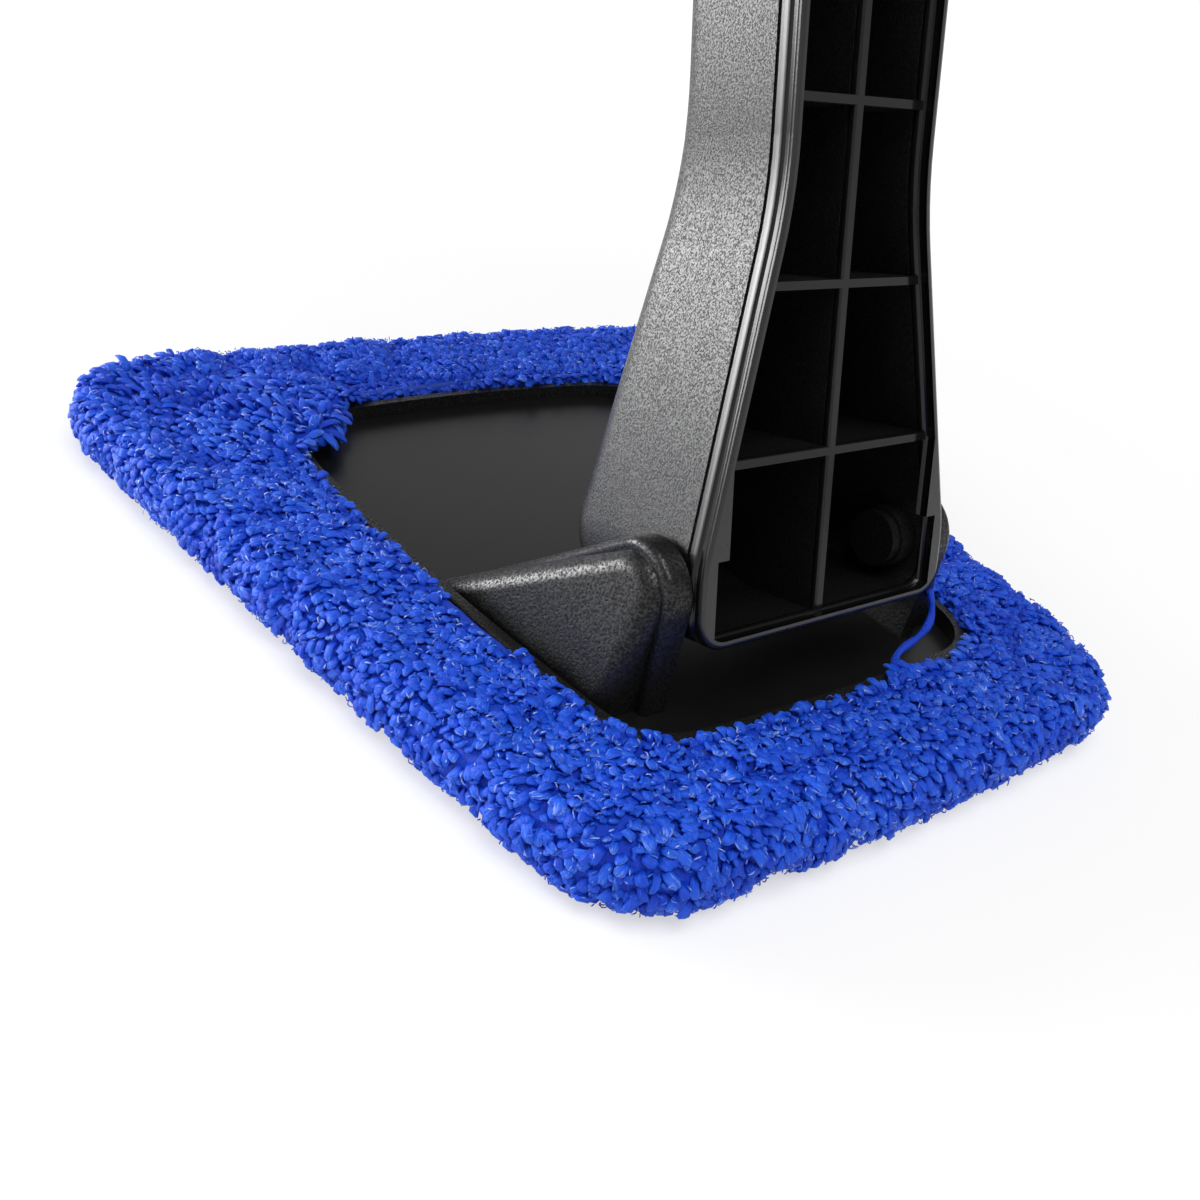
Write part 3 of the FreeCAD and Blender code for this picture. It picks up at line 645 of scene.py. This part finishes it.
# Painted glint: the lightest fibres are coloured pale blue, and also get a coat and less roughness.
glint = (light - GLINT_SHIFT).ramp((0.42, 0.0), (0.75, 1.0))
close_finish(
    pile,
    Base_Color=glint.blend(high_mix, PAINTED_GLINT_BLUE),
    Roughness=0.5 - 0.2 * glint,
    Coat_Weight=glint,
    Coat_Roughness=0.25,
    Specular_IOR_Level=0.36,
    Normal=pile.bump(streak, 0.32 * MM),
)
print("microfibre finish of", len(MICROFIBRE.node_tree.nodes), "nodes")

# %% [markdown]
# ## Roots of the pile
# The yarn is knitted into the cloth in rows.  Points scattered by chance would leave bald spots and
# clumps, so the roots stand in rows a stitch apart, every second row shifted by half a stitch, and
# each root is moved a little at random.

# %% Roots of the pile
ROW_PITCH = 1.45 * MM
SOLE_PITCH = 2.0 * MM
FIRST_ROW = 0.3              # its distance from the start, in pitches
ROW_SAMPLES = 2000           # points along the profile that its length is measured with
KEPT_LEAST = 0.12            # share of the roots that stay where rows run together
JITTER_ALONG = 0.25          # random moves along a row, in pitches
JITTER_ACROSS = 0.22         # and from row to row, in rows
LEAST_RADIUS = 1 * MM        # keeps those moves small in the middle of the sole
SHORT_OF_MIDDLE = 0.2        # stations that the last row may stay off it
BARE_HEM, BARE_HALF = -2.64, 0.15    # bearing and half width of the stretch where the hem shows
WIDE_END = np.pi / 2         # bearing at which the rows are measured
PILE_SEED = 11
rng = np.random.default_rng(PILE_SEED)


def lengths_along(line):
    """Distance of each point of a line from its start, along the line."""
    return np.concatenate(([0.0], np.cumsum(np.linalg.norm(np.diff(line, axis=0), axis=1))))


def ring_bearings(across, pitch, offset):
    """Bearings an even distance apart along the cloth's ring at one station."""
    ring = cloth(BEARINGS, np.full(len(BEARINGS), across))
    run = lengths_along(np.concatenate((ring, ring[:1])))
    count = max(int(run[-1] / pitch), 1)
    places = (np.arange(count) + offset) / count * run[-1]
    return np.interp(places, run, np.append(BEARINGS, np.pi))


def row_stations(first, last, pitch):
    """Station numbers a pitch apart along the profile, measured at the wide end."""
    fine = np.linspace(first, last, ROW_SAMPLES)
    run = lengths_along(cloth(np.full(ROW_SAMPLES, WIDE_END), fine))
    return np.interp(np.arange(FIRST_ROW * pitch, run[-1], pitch), run, fine)


def pile_roots(first, last, pitch):
    """Jittered roots in rows, thinned where the rows crowd: bearings and stations."""
    rows = row_stations(first, last, pitch)
    rings = [ring_bearings(row, pitch, 0.5 * (number % 2)) for number, row in enumerate(rows)]
    counts = [len(ring) for ring in rings]
    bearings = np.concatenate(rings)
    across = np.repeat(rows, counts)
    gap = np.repeat(np.abs(np.gradient(rows)), counts)
    between = cloth(bearings, across + gap / 2) - cloth(bearings, across - gap / 2)
    room = np.clip(np.linalg.norm(between, axis=1) / pitch, 0.0, 1.0)
    kept = rng.random(len(across)) < room + KEPT_LEAST
    bearings, across, gap = bearings[kept], across[kept], gap[kept]
    radius = np.linalg.norm(cloth(bearings, across)[:, :2], axis=1) + LEAST_RADIUS
    bearings = bearings + rng.normal(0, JITTER_ALONG * pitch, len(bearings)) / radius
    across = np.clip(across + rng.normal(0, JITTER_ACROSS, len(across)) * gap, first, last)
    return bearings, across


outer_bearing, outer_across = pile_roots(HEM_FRONT, SIDE_END, ROW_PITCH)
on_bare_hem = (np.abs(angle_from(outer_bearing, BARE_HEM)) < BARE_HALF) & (outer_across < BAND_START + 1)
outer_bearing, outer_across = outer_bearing[~on_bare_hem], outer_across[~on_bare_hem]
sole_bearing, sole_across = pile_roots(SIDE_END, LAST - SHORT_OF_MIDDLE, SOLE_PITCH)
print("roots on the band and side:", len(outer_bearing), "and under the sole:", len(sole_bearing))

# %% [markdown]
# ## Fingers of yarn
# Every stitch leaves a short, soft finger of yarn.  The fingers lie over one another like shingles,
# and thin filaments stand out of them in small bows that catch the light, most of them with a
# painted glint.  Blender's hair could grow them, but hair is no mesh that other programs can read.
# Both are the same bent tube in different sizes, worked out as arrays of points for all the roots of
# a patch together.

# %% How the fingers lie
STANDING = 0.35              # share of the fingers on the side that stand out from it
SIDE_FROM = SOLE_CLOTH + 2 * MM   # heights between which they do
SIDE_TO = TOP_CLOTH - 1 * MM
COMB_SEED = 3
COMB_WAVE = 13 * MM          # distance over which the combed direction changes
COMB_TURN = 2.2              # and how far it turns, in radians
TURN_INWARDS = 0.55          # nearness to the mouth from which fingers lean over it
SHAGGY_CORNER = 2.35         # bearing of the corner where the fingers are longer
SHAGGY_HALF = 0.16
SHAGGY_MORE = 0.9            # what that adds to their length
CREASE_LESS = 0.35           # and what a crease takes off it


def pile_share(bearing, root):
    """Length of the pile as a share of its full length: less in creases, more at one corner."""
    shaggy = np.exp(-(angle_from(bearing, SHAGGY_CORNER) / SHAGGY_HALF) ** 2)
    return (1 - CREASE_LESS * crease(root)) * (1 + SHAGGY_MORE * shaggy)


def comb_frames(bearing, across, spread):
    """Root, normal, combed direction and sideways direction of each finger.

    Fingers are combed away from the mouth, turned by a slow random field and a random angle; those
    at the very edge of the mouth lean inwards over it.
    """
    root, normal = fleece(bearing, across)
    outward = unit(down_profile(bearing, across))
    turn = COMB_TURN * smooth_field(root, COMB_SEED, COMB_WAVE) + rng.normal(0, spread, len(root))
    turn = turn + np.pi * (over_mouth(bearing, root) > TURN_INWARDS)
    comb = outward * np.cos(turn)[:, None] + np.cross(normal, outward) * np.sin(turn)[:, None]
    return root, normal, comb, np.cross(normal, comb)


# %% The line and the skin of a finger
FINGER_STOPS = np.array((0.1, 0.42, 0.74, 0.94))   # shares of a finger's length that have a ring
LINE_STOPS = np.concatenate(([0.0], FINGER_STOPS, [1.0]))
ROUND_FROM = 0.7             # share from which the finger rounds off to its tip
THIN_ROOT = 0.6              # thickness at the root, as a share
GROOVE, GROOVE_HALF = 0.4, 0.5   # depth, as a share, and half width of the groove along its top
VARY = (0.72, 1.28)          # least and most share of a size that chance gives
BEND_VARY = 1.6              # the bend varies so many times as much
STANDING_LONGER, STANDING_BEND = 1.35, 0.6   # shares of length and bend, of those that stand out
SWAY = 0.5                   # sideways bend, in half widths

Finger = namedtuple("Finger", "height reach half_width thickness base arc sides spread shade")


def finger_lines(finger, frames, tall, far, bend):
    """Middle line of each finger.

    After a share v of its length it stands B + H sin(A v) along the cloth's normal and
    L (1 - cos(A v)) along its combed direction, and it sways to one side and back.
    """
    root, normal, comb, side = frames
    angle = bend * LINE_STOPS
    up = finger.base + tall * np.sin(angle)
    over = far * (1 - np.cos(angle))
    sway = finger.half_width * rng.normal(0, SWAY, (len(root), 1)) * np.sin(np.pi * LINE_STOPS)
    parts = ((normal, up), (comb, over), (side, sway))
    return root[:, None] + sum(way[:, None] * amount[..., None] for way, amount in parts)


def finger_skin(finger, line, side, widths):
    """Points of closed fingers round their lines.

    Round the line goes an ellipse of half sizes W k sideways and T k across, with a groove along
    its top; k grows from 0.6 at the root to 1, and falls to 0 along a quarter circle to the tip.
    """
    grown = THIN_ROOT + (1 - THIN_ROOT) * np.sin(np.pi / 2 * np.clip(LINE_STOPS / ROUND_FROM, 0, 1))
    rounding = np.clip((LINE_STOPS - ROUND_FROM) / (1 - ROUND_FROM), 0, 1)
    plump = grown * np.sqrt(1 - rounding ** 2)
    back = unit(np.cross(side[:, None], unit(np.gradient(line, axis=1))))
    turn = ring_turns(finger.sides)
    dent = 1 - GROOVE * np.exp(-((turn - np.pi / 2) / GROOVE_HALF) ** 2)
    wide = (widths * plump)[..., None] * np.cos(turn)
    thick = (finger.thickness * plump)[:, None] * (np.sin(turn) * dent)
    sideways = side[:, None, None] * wide[..., None]
    tube = line[:, :, None] + sideways - back[:, :, None] * thick[None, ..., None]
    rings = tube[:, 1:-1].reshape(len(line), -1, 3)
    return np.concatenate((line[:, :1], rings, line[:, -1:]), axis=1)


# %% A patch of fingers
# Painted shade and light on a finger: darker at its root, lighter at its tip, and a painted highlight along
# its sides.
ROOT_RISE = 0.3              # the rise that colours a finger's root
TOP_RISE, RIM_HIGHLIGHT = 0.4, 0.3    # what is added at its tip, and there on its sides
# Painted shade in the creases.
CREASE_PAINTED_SHADE = 0.5            # how much darker the pile is in a crease


def finger_fibres(finger):
    """Fibre coordinates, in millimetres, and rise at the points of a finger, which all share them."""
    turn = ring_turns(finger.sides)
    rings = len(FINGER_STOPS)
    on_line = np.concatenate(([0.0], np.repeat(FINGER_STOPS, finger.sides), [1.0]))
    around = np.concatenate(([0.0], np.tile(turn, rings), [0.0]))
    rim = np.concatenate(([0.0], np.tile(np.cos(turn) ** 2, rings), [1.0]))
    across = finger.half_width * np.cos(around)
    through = finger.thickness * np.sin(around)
    fibre_on = np.stack((across, through, 2 * finger.reach * on_line), axis=-1) / MM
    # Rise: painted shade at the root, painted light towards the tip and a painted highlight on the sides.
    return fibre_on, ROOT_RISE + on_line * (TOP_RISE + RIM_HIGHLIGHT * rim)


def fingers(bearing, across, finger):
    """Bent fingers of yarn at roots: points, faces, fibre coordinates, rise and tints.

    On the head's side some fingers bend less and are longer, so that their tips stand out.
    """
    frames = comb_frames(bearing, across, finger.spread)
    root, side = frames[0], frames[3]
    tall_vary, far_vary, wide_vary, bend_vary = rng.uniform(*VARY, (4, len(root), 1))
    on_the_side = (root[:, 2] > SIDE_FROM) & (root[:, 2] < SIDE_TO)
    stands = (on_the_side & (rng.random(len(root)) < STANDING))[:, None]
    length = pile_share(bearing, root)[:, None] * np.where(stands, STANDING_LONGER, 1.0)
    bend = finger.arc * (1 + BEND_VARY * (bend_vary - 1)) * np.where(stands, STANDING_BEND, 1.0)
    tall = length * finger.height * tall_vary
    far = length * finger.reach * far_vary
    line = finger_lines(finger, frames, tall, far, bend / np.sqrt(length))
    points = finger_skin(finger, line, side, finger.half_width * wide_vary)
    fibre_on, rise_on = finger_fibres(finger)
    # Each finger's own random tint, less painted shade in a crease.
    tints = finger.shade + rng.uniform(0, 1, len(root)) - CREASE_PAINTED_SHADE * crease(root)
    return points, capped_faces(len(FINGER_STOPS), finger.sides), fibre_on, rise_on, tints


# %% A pulled strand
STRAND_RINGS = 14
STRAND_UNEVEN = 0.2          # share by which its thickness goes up and down
STRAND_WAVES = 19            # and how far that wave runs along it, in radians
STRAND_RISE, STRAND_TINT = 0.3, 0.4


def yarn_along(path, radius, sides):
    """One strand, in the form that fingers gives: a round tube with closed ends along a cubic curve.

    The curve is the one that fits the path's points best at even steps.
    """
    share = np.linspace(0, 1, STRAND_RINGS)
    stops = np.linspace(0, 1, len(path))
    line = np.stack([np.polyval(np.polyfit(stops, column, 3), share) for column in path.T], axis=-1)
    along = unit(np.gradient(line, axis=0))
    side = unit(np.cross(along, UP))
    turn = ring_turns(sides)[:, None]
    circle = side[:, None] * np.cos(turn) + np.cross(side, along)[:, None] * np.sin(turn)
    thickness = radius * (1 + STRAND_UNEVEN * np.sin(STRAND_WAVES * share))
    tube = line[:, None] + thickness[:, None, None] * circle
    points = np.concatenate((line[:1], tube.reshape(-1, 3), line[-1:]))
    rise_on = np.full(len(points), STRAND_RISE)
    return points[None], capped_faces(STRAND_RINGS, sides), points / MM, rise_on, np.array([STRAND_TINT])


# %% Patches of pile as pieces
FIBRE_SHIFT = 90             # each finger starts somewhere along so many millimetres of streaks
FLOOR_GAP = 0.05 * MM        # the pile ends this far over what the sole lies on


def merged(groups):
    """Points, face arrays and fibre attributes of several groups of like shapes, as one mesh."""
    points, faces, rises, fibres, tints = [], {3: [], 4: []}, [], [], []
    start = 0
    for shape_points, shape_faces, fibre_on, rise_on, shade in groups:
        count, each = shape_points.shape[:2]
        offsets = start + each * np.arange(count)
        for face_set in shape_faces:
            spread = (offsets[:, None, None] + face_set[None]).reshape(-1, face_set.shape[1])
            faces[face_set.shape[1]].append(spread)
        shift = rng.uniform(0, FIBRE_SHIFT, (count, 1, 1)) * UP
        points.append(shape_points.reshape(-1, 3))
        rises.append(np.tile(rise_on, count))
        fibres.append((fibre_on[None] + shift).reshape(-1, 3))
        tints.append(np.repeat(shade, each))
        start += count * each
    face_sets = [np.concatenate(sets) for sets in faces.values() if sets]
    return np.concatenate(points), face_sets, [np.concatenate(rows) for rows in (rises, tints, fibres)]


def add_fibre(piece, rises, tints, fibres):
    """Gives a piece the three attributes that the microfibre finish reads."""
    data = piece.data.attributes
    for name, levels in (("rise", rises), ("tint", tints)):
        data.new(name, "FLOAT", "POINT").data.foreach_set("value", levels.astype(np.float32))
    flat_fibres = fibres.astype(np.float32).ravel()
    data.new("fibre", "FLOAT_VECTOR", "POINT").data.foreach_set("vector", flat_fibres)


def pile_piece(name, groups):
    """One patch of pile as a piece, with its attributes, kept above what the sole lies on."""
    points, face_sets, fibre_levels = merged(groups)
    points[:, 2] = np.maximum(points[:, 2], FLOOR_GAP)
    piece = new_piece(name, points, face_sets, MICROFIBRE)
    add_fibre(piece, *fibre_levels)
    return piece


# %% [markdown]
# ## The pile's pieces
# The pile is one thing on the real bonnet.  As one mesh it would be too heavy to handle, so it is
# cut into eight sectors round the head and two halves under the sole.  At the mouth's rear edge a
# tuft is pulled out, and a strand of it is caught behind the right ear.

# %% The pile's pieces
LIE_DOWN = 1.92              # angle that a finger bends through, in radians
BOW = 3.1                    # and a filament, which comes back down to the pile
YARN = Finger(height=1.15 * MM, reach=1.6 * MM, half_width=0.88 * MM, thickness=0.5 * MM,
              base=-0.3 * MM, arc=LIE_DOWN, sides=8, spread=0.5, shade=0.0)
# Filaments have a lighter shade, so that most of them are painted as glints.
FILAMENT = Finger(height=0.5 * MM, reach=0.6 * MM, half_width=0.14 * MM, thickness=0.14 * MM,
                  base=0.95 * MM, arc=BOW, sides=3, spread=1.4, shade=0.8)
SOLE_YARN = Finger(height=1.1 * MM, reach=1.3 * MM, half_width=1.0 * MM, thickness=0.5 * MM,
                   base=-0.3 * MM, arc=LIE_DOWN, sides=4, spread=0.5, shade=0.0)
SNAG_YARN = Finger(height=1.2 * MM, reach=3.4 * MM, half_width=0.8 * MM, thickness=0.5 * MM,
                   base=-0.4 * MM, arc=LIE_DOWN, sides=8, spread=0.6, shade=0.0)

SNAG_BEARING, SNAG_STATION = -1.34, 5.0
SNAG_WIDTH, SNAG_DEPTH = 0.03, 1.0   # spread of its roots in bearing and in stations
SNAG_COUNT = 34
STRAND_PATH = np.array(((15.4, -65.6, 12.2), (22.0, -60.6, 12.4),
                        (30.6, -58.4, 13.0), (32.0, -55.3, 20.0))) * MM
STRAND_RADIUS = 0.75 * MM
STRAND_SIDES = 8

SECTORS = ("right", "front_right", "front", "front_left", "left", "rear_left", "rear", "rear_right")
HALF_SECTOR = np.pi / len(SECTORS)

snag_bearing = SNAG_BEARING + rng.normal(0, SNAG_WIDTH, SNAG_COUNT)
snag_across = SNAG_STATION + rng.normal(0, SNAG_DEPTH, SNAG_COUNT)
for number, sector in enumerate(SECTORS):
    turned = angle_from(outer_bearing, 2 * HALF_SECTOR * number)
    here = (turned >= -HALF_SECTOR) & (turned < HALF_SECTOR)
    where, row = outer_bearing[here], outer_across[here]
    groups = [fingers(where, row, YARN), fingers(where[::2], row[::2], FILAMENT)]
    pile_piece("bonnet_pile_" + sector, groups)
snag_groups = [fingers(snag_bearing, snag_across, SNAG_YARN),
               yarn_along(STRAND_PATH, STRAND_RADIUS, STRAND_SIDES)]
pile_piece("snagged_yarn", snag_groups)
for half_name, sign in (("left", -1), ("right", 1)):
    here = np.sign(np.cos(sole_bearing)) == sign
    sole_groups = [fingers(sole_bearing[here], sole_across[here], SOLE_YARN)]
    pile_piece("sole_pile_" + half_name, sole_groups)

# %% [markdown]
# ## The cloth's own mesh
# Between the fingers the cloth shows through.  It is one sheet: the fleece formula on a grid of
# bearings and stations, closed under the sole by a fan.

# %% The cloth itself, and what it replaces
CLOTH_STEP = 0.6 * MM
CLOTH_ROUND = 960            # points round the head
SOLE_RINGS = 22
# Painted shade: the cloth between the fingers is coloured like a finger's root.
CLOTH_RISE, CLOTH_TINT = 0.2, 0.45   # the cloth's colour, as that of a finger near its root
outer_rows = np.concatenate(([0.0], row_stations(0.0, SIDE_END, CLOTH_STEP)))
sole_rows = np.linspace(SIDE_END, LAST - 1, SOLE_RINGS)
round_head = np.linspace(-np.pi, np.pi, CLOTH_ROUND, endpoint=False)
grid_bearing, grid_row = np.meshgrid(round_head, np.concatenate((outer_rows, sole_rows)))
cloth_grid = fleece(grid_bearing, grid_row)[0]
cloth_points = np.concatenate((cloth_grid.reshape(-1, 3), [SOLE_CLOTH * UP]))
cloth_quads = grid_faces(*grid_row.shape)[:, ::-1]
inner_ring = np.arange(CLOTH_ROUND) + (len(grid_row) - 1) * CLOTH_ROUND
middle = np.full(CLOTH_ROUND, len(cloth_points) - 1)
cloth_fan = np.stack((np.roll(inner_ring, -1), inner_ring, middle), axis=-1)
bonnet_cloth = new_piece("bonnet_cloth", cloth_points, [cloth_quads, cloth_fan], MICROFIBRE)
# Painted light on the cloth's lumps and painted shade in its creases.
cloth_painted_shading = CLOTH_RISE + 0.5 * lumps(cloth_points) - 0.5 * crease(cloth_points)
add_fibre(bonnet_cloth, cloth_painted_shading, np.full(len(cloth_points), CLOTH_TINT), cloth_points / MM)
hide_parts("bonnet")

# %% The cloth's shape without its lumps and creases
smooth_grid = cloth(grid_bearing, grid_row)

# %% [markdown]
# ## Elastic
# A covered elastic runs in the hem and pulls the mouth tight under the rim.  A curve with a bevel
# would give the same round cord; a circle carried along the mouth's outline is as short to write and
# is a mesh at once.

# %% Elastic
ELASTIC_RADIUS = 0.9 * MM
ELASTIC_INSET = 2.6 * MM     # from the mouth's edge
ELASTIC_HEIGHT = 11.75 * MM
ELASTIC_SIDES = 8
ELASTIC_WEAVE = 2600.0       # to the metre
ELASTIC, cord = new_finish("elastic_blue")
cord_weave = cord.noise(cord.object_place(), ELASTIC_WEAVE)
close_finish(
    cord,
    Base_Color=cord_weave.blend(rgb(0.004, 0.03, 0.26), rgb(0.02, 0.08, 0.5)),
    Roughness=0.6,
    Normal=cord.bump(cord_weave, 0.1 * MM),
)


def closed_tube(path, radius, sides):
    """Tube round a level closed path: at each point a circle that stands square to the path."""
    along = np.roll(path, -1, axis=0) - np.roll(path, 1, axis=0)
    outward = unit(np.cross(along, UP))
    turn = ring_turns(sides)[:, None]
    points = path[:, None] + radius * (outward[:, None] * np.cos(turn) + UP * np.sin(turn))
    quads = grid_faces(len(path) + 1, sides) % (len(path) * sides)
    return points.reshape(-1, 3), quads


elastic_path = round_middle(MOUTH_RADIUS + ELASTIC_INSET, BEARINGS, ELASTIC_HEIGHT)[::2]
elastic_points, elastic_quads = closed_tube(elastic_path, ELASTIC_RADIUS, ELASTIC_SIDES)
elastic_piece = new_piece("elastic_cord", elastic_points, [elastic_quads], ELASTIC)
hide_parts("bonnet_elastic")
elastic_length = lengths_along(np.concatenate((elastic_path, elastic_path[:1])))[-1]
print("elastic loop in mm:", round(elastic_length / MM, 1))

# %% [markdown]
# ## Foam
# Closed-cell foam under the tray gives the sole its spring.  It is a slab with soft edges: a profile
# from the middle of its underside, round the edge and back over the top, carried round the head.  Its
# cell walls are those of a Voronoi pattern, which packs as bubbles do.

# %% Foam
FOAM_CELLS = 900.0           # to the metre
FOAM_ROUND = 0.9 * MM        # radius of its edges
FOAM_RINGS, EDGE_RINGS = 12, 8
FOAM_STEP = 4                # it has a point at every fourth bearing
FOAM_INNER = 0.98            # last ring before the edge, as a share of the radius
FOAM_FLAT = 0.01 * MM        # tolerance for points on its underside
FOAM, cells = new_finish("foam_grey")
cell_walls = cells.node("ShaderNodeTexVoronoi", {"feature": "DISTANCE_TO_EDGE"},
                        {"Vector": cells.object_place(), "Scale": FOAM_CELLS})
wall_mix = cell_walls.ramp((0.0, 1.0), (0.25, 0.0))
close_finish(
    cells,
    Base_Color=wall_mix.blend(rgb(0.05, 0.05, 0.055), rgb(0.16, 0.16, 0.17)),
    Roughness=0.9,
    Normal=cells.bump(cell_walls, 0.4 * MM),
)
foam_low, foam_high = (corner.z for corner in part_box("foam_pad"))
foam_node = node_points("foam_pad")
on_underside = np.abs(foam_node[:, 2] - foam_low) < FOAM_FLAT
foam_bearing = BEARINGS[::FOAM_STEP]
foam_reach = radius_by_bearing(foam_node[on_underside])[::FOAM_STEP] - FOAM_ROUND
inner_share = np.linspace(0.0, FOAM_INNER, FOAM_RINGS)
foam_share = np.concatenate((inner_share, np.ones(EDGE_RINGS), inner_share[::-1]))
edge_turn = np.linspace(-np.pi / 2, np.pi / 2, EDGE_RINGS)
foam_turn = np.concatenate((np.full(FOAM_RINGS, -np.pi / 2), edge_turn, np.full(FOAM_RINGS, np.pi / 2)))
foam_middle = np.where(foam_turn > 0, foam_high - FOAM_ROUND, foam_low + FOAM_ROUND)
foam_height = foam_middle + FOAM_ROUND * np.sin(foam_turn)
foam_radius = foam_share[:, None] * (foam_reach + FOAM_ROUND * np.cos(foam_turn)[:, None])
foam_grid = round_middle(foam_radius, foam_bearing, foam_height[:, None])
foam_quads = grid_faces(*foam_radius.shape)
foam_piece = new_piece("foam_slab", foam_grid.reshape(-1, 3), [foam_quads], FOAM)
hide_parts("foam_pad")

# %% [markdown]
# ## Floor and light
# The picture has a plain white ground.  The floor is pale and keeps the shadow near the object; for
# the camera it is lifted by a share of emission that grows to all of it far away.  The world is
# white for the camera; as a light it is bright round the horizon and dim overhead.  Two lamps model
# the form: a soft one overhead and a low one on the left, which the handle's flank reflects.

# %% Floor
FLOOR_HALF = 3.0
FLOOR_PAINT = rgb(0.9, 0.9, 0.9)
GLOW_STRENGTH = 1.12
NEAR_GLOW = 0.5              # share of the floor's white, near the object, that doesn't depend on the light
GLOW_NEAR, GLOW_FAR = 0.18, 0.5   # distances in metres between which that share grows to all of it
floor_corners = FLOOR_HALF * np.array(((-1, -1, 0), (1, -1, 0), (1, 1, 0), (-1, 1, 0)))
floor_mesh = bpy.data.meshes.new("floor")
floor_mesh.from_pydata(floor_corners.tolist(), [], [(0, 1, 2, 3)])
floor = bpy.data.objects.new("floor", floor_mesh)
bpy.context.scene.collection.objects.link(floor)

FLOOR_WHITE, ground = new_finish("floor_white")
far_away = ground.vector("LENGTH", ground.object_place(), output="Value")
glow_share = far_away.ramp((GLOW_NEAR, NEAR_GLOW), (GLOW_FAR, 1.0))
paint = ground.node("ShaderNodeBsdfDiffuse", None, {"Color": FLOOR_PAINT})
glow = ground.node("ShaderNodeEmission", None, {"Color": rgb(1, 1, 1), "Strength": GLOW_STRENGTH})
glow_mix = {0: glow_share * ground.camera_ray(), 1: paint, 2: glow}
ground_shader = ground.node("ShaderNodeMixShader", None, glow_mix)
ground.node("ShaderNodeOutputMaterial", None, {"Surface": ground_shader})
floor_mesh.materials.append(FLOOR_WHITE)
print("floor of", 2 * FLOOR_HALF, "metres")

# %% World
SKY_STOPS = ((0.0, 0.9), (0.3, 0.6), (0.65, 0.22), (1.0, 0.18))   # light by the height it comes from
world = bpy.data.worlds.new("studio")
bpy.context.scene.world = world
world.use_nodes = True
world.node_tree.nodes.clear()
sky = Wire(world.node_tree)
sky_seen = sky.camera_ray()
sky_light = sky.height_of(sky.object_place()).ramp(*SKY_STOPS)
sky_level = sky_seen + (1.0 - sky_seen) * sky_light
backdrop = sky.node("ShaderNodeBackground", None, {"Color": rgb(1, 1, 1), "Strength": sky_level})
sky.node("ShaderNodeOutputWorld", None, {"Surface": backdrop})
print("world of", len(world.node_tree.nodes), "nodes")

# %% Lamps
MIDDLE = (0.0, 0.0, 0.03)    # what the lamps are turned to


def softbox(name, place, width, height, power):
    """A soft rectangular lamp of a width and height in metres, at a place, facing the middle."""
    data = bpy.data.lights.new(name, "AREA")
    data.shape = "RECTANGLE"
    data.size = width
    data.size_y = height
    data.energy = power
    lamp = bpy.data.objects.new(name, data)
    bpy.context.scene.collection.objects.link(lamp)
    back = unit(np.array(place) - np.array(MIDDLE))
    right = unit(np.cross(UP, back))
    lamp.matrix_world = standing(right, np.cross(back, right), back, place)
    print(name, "of", power, "watts at", place)


softbox("left_box", (-0.66, 0.76, 0.18), width=0.7, height=0.36, power=11.0)
softbox("top_box", (-0.15, -0.35, 1.05), width=0.8, height=0.8, power=9.0)
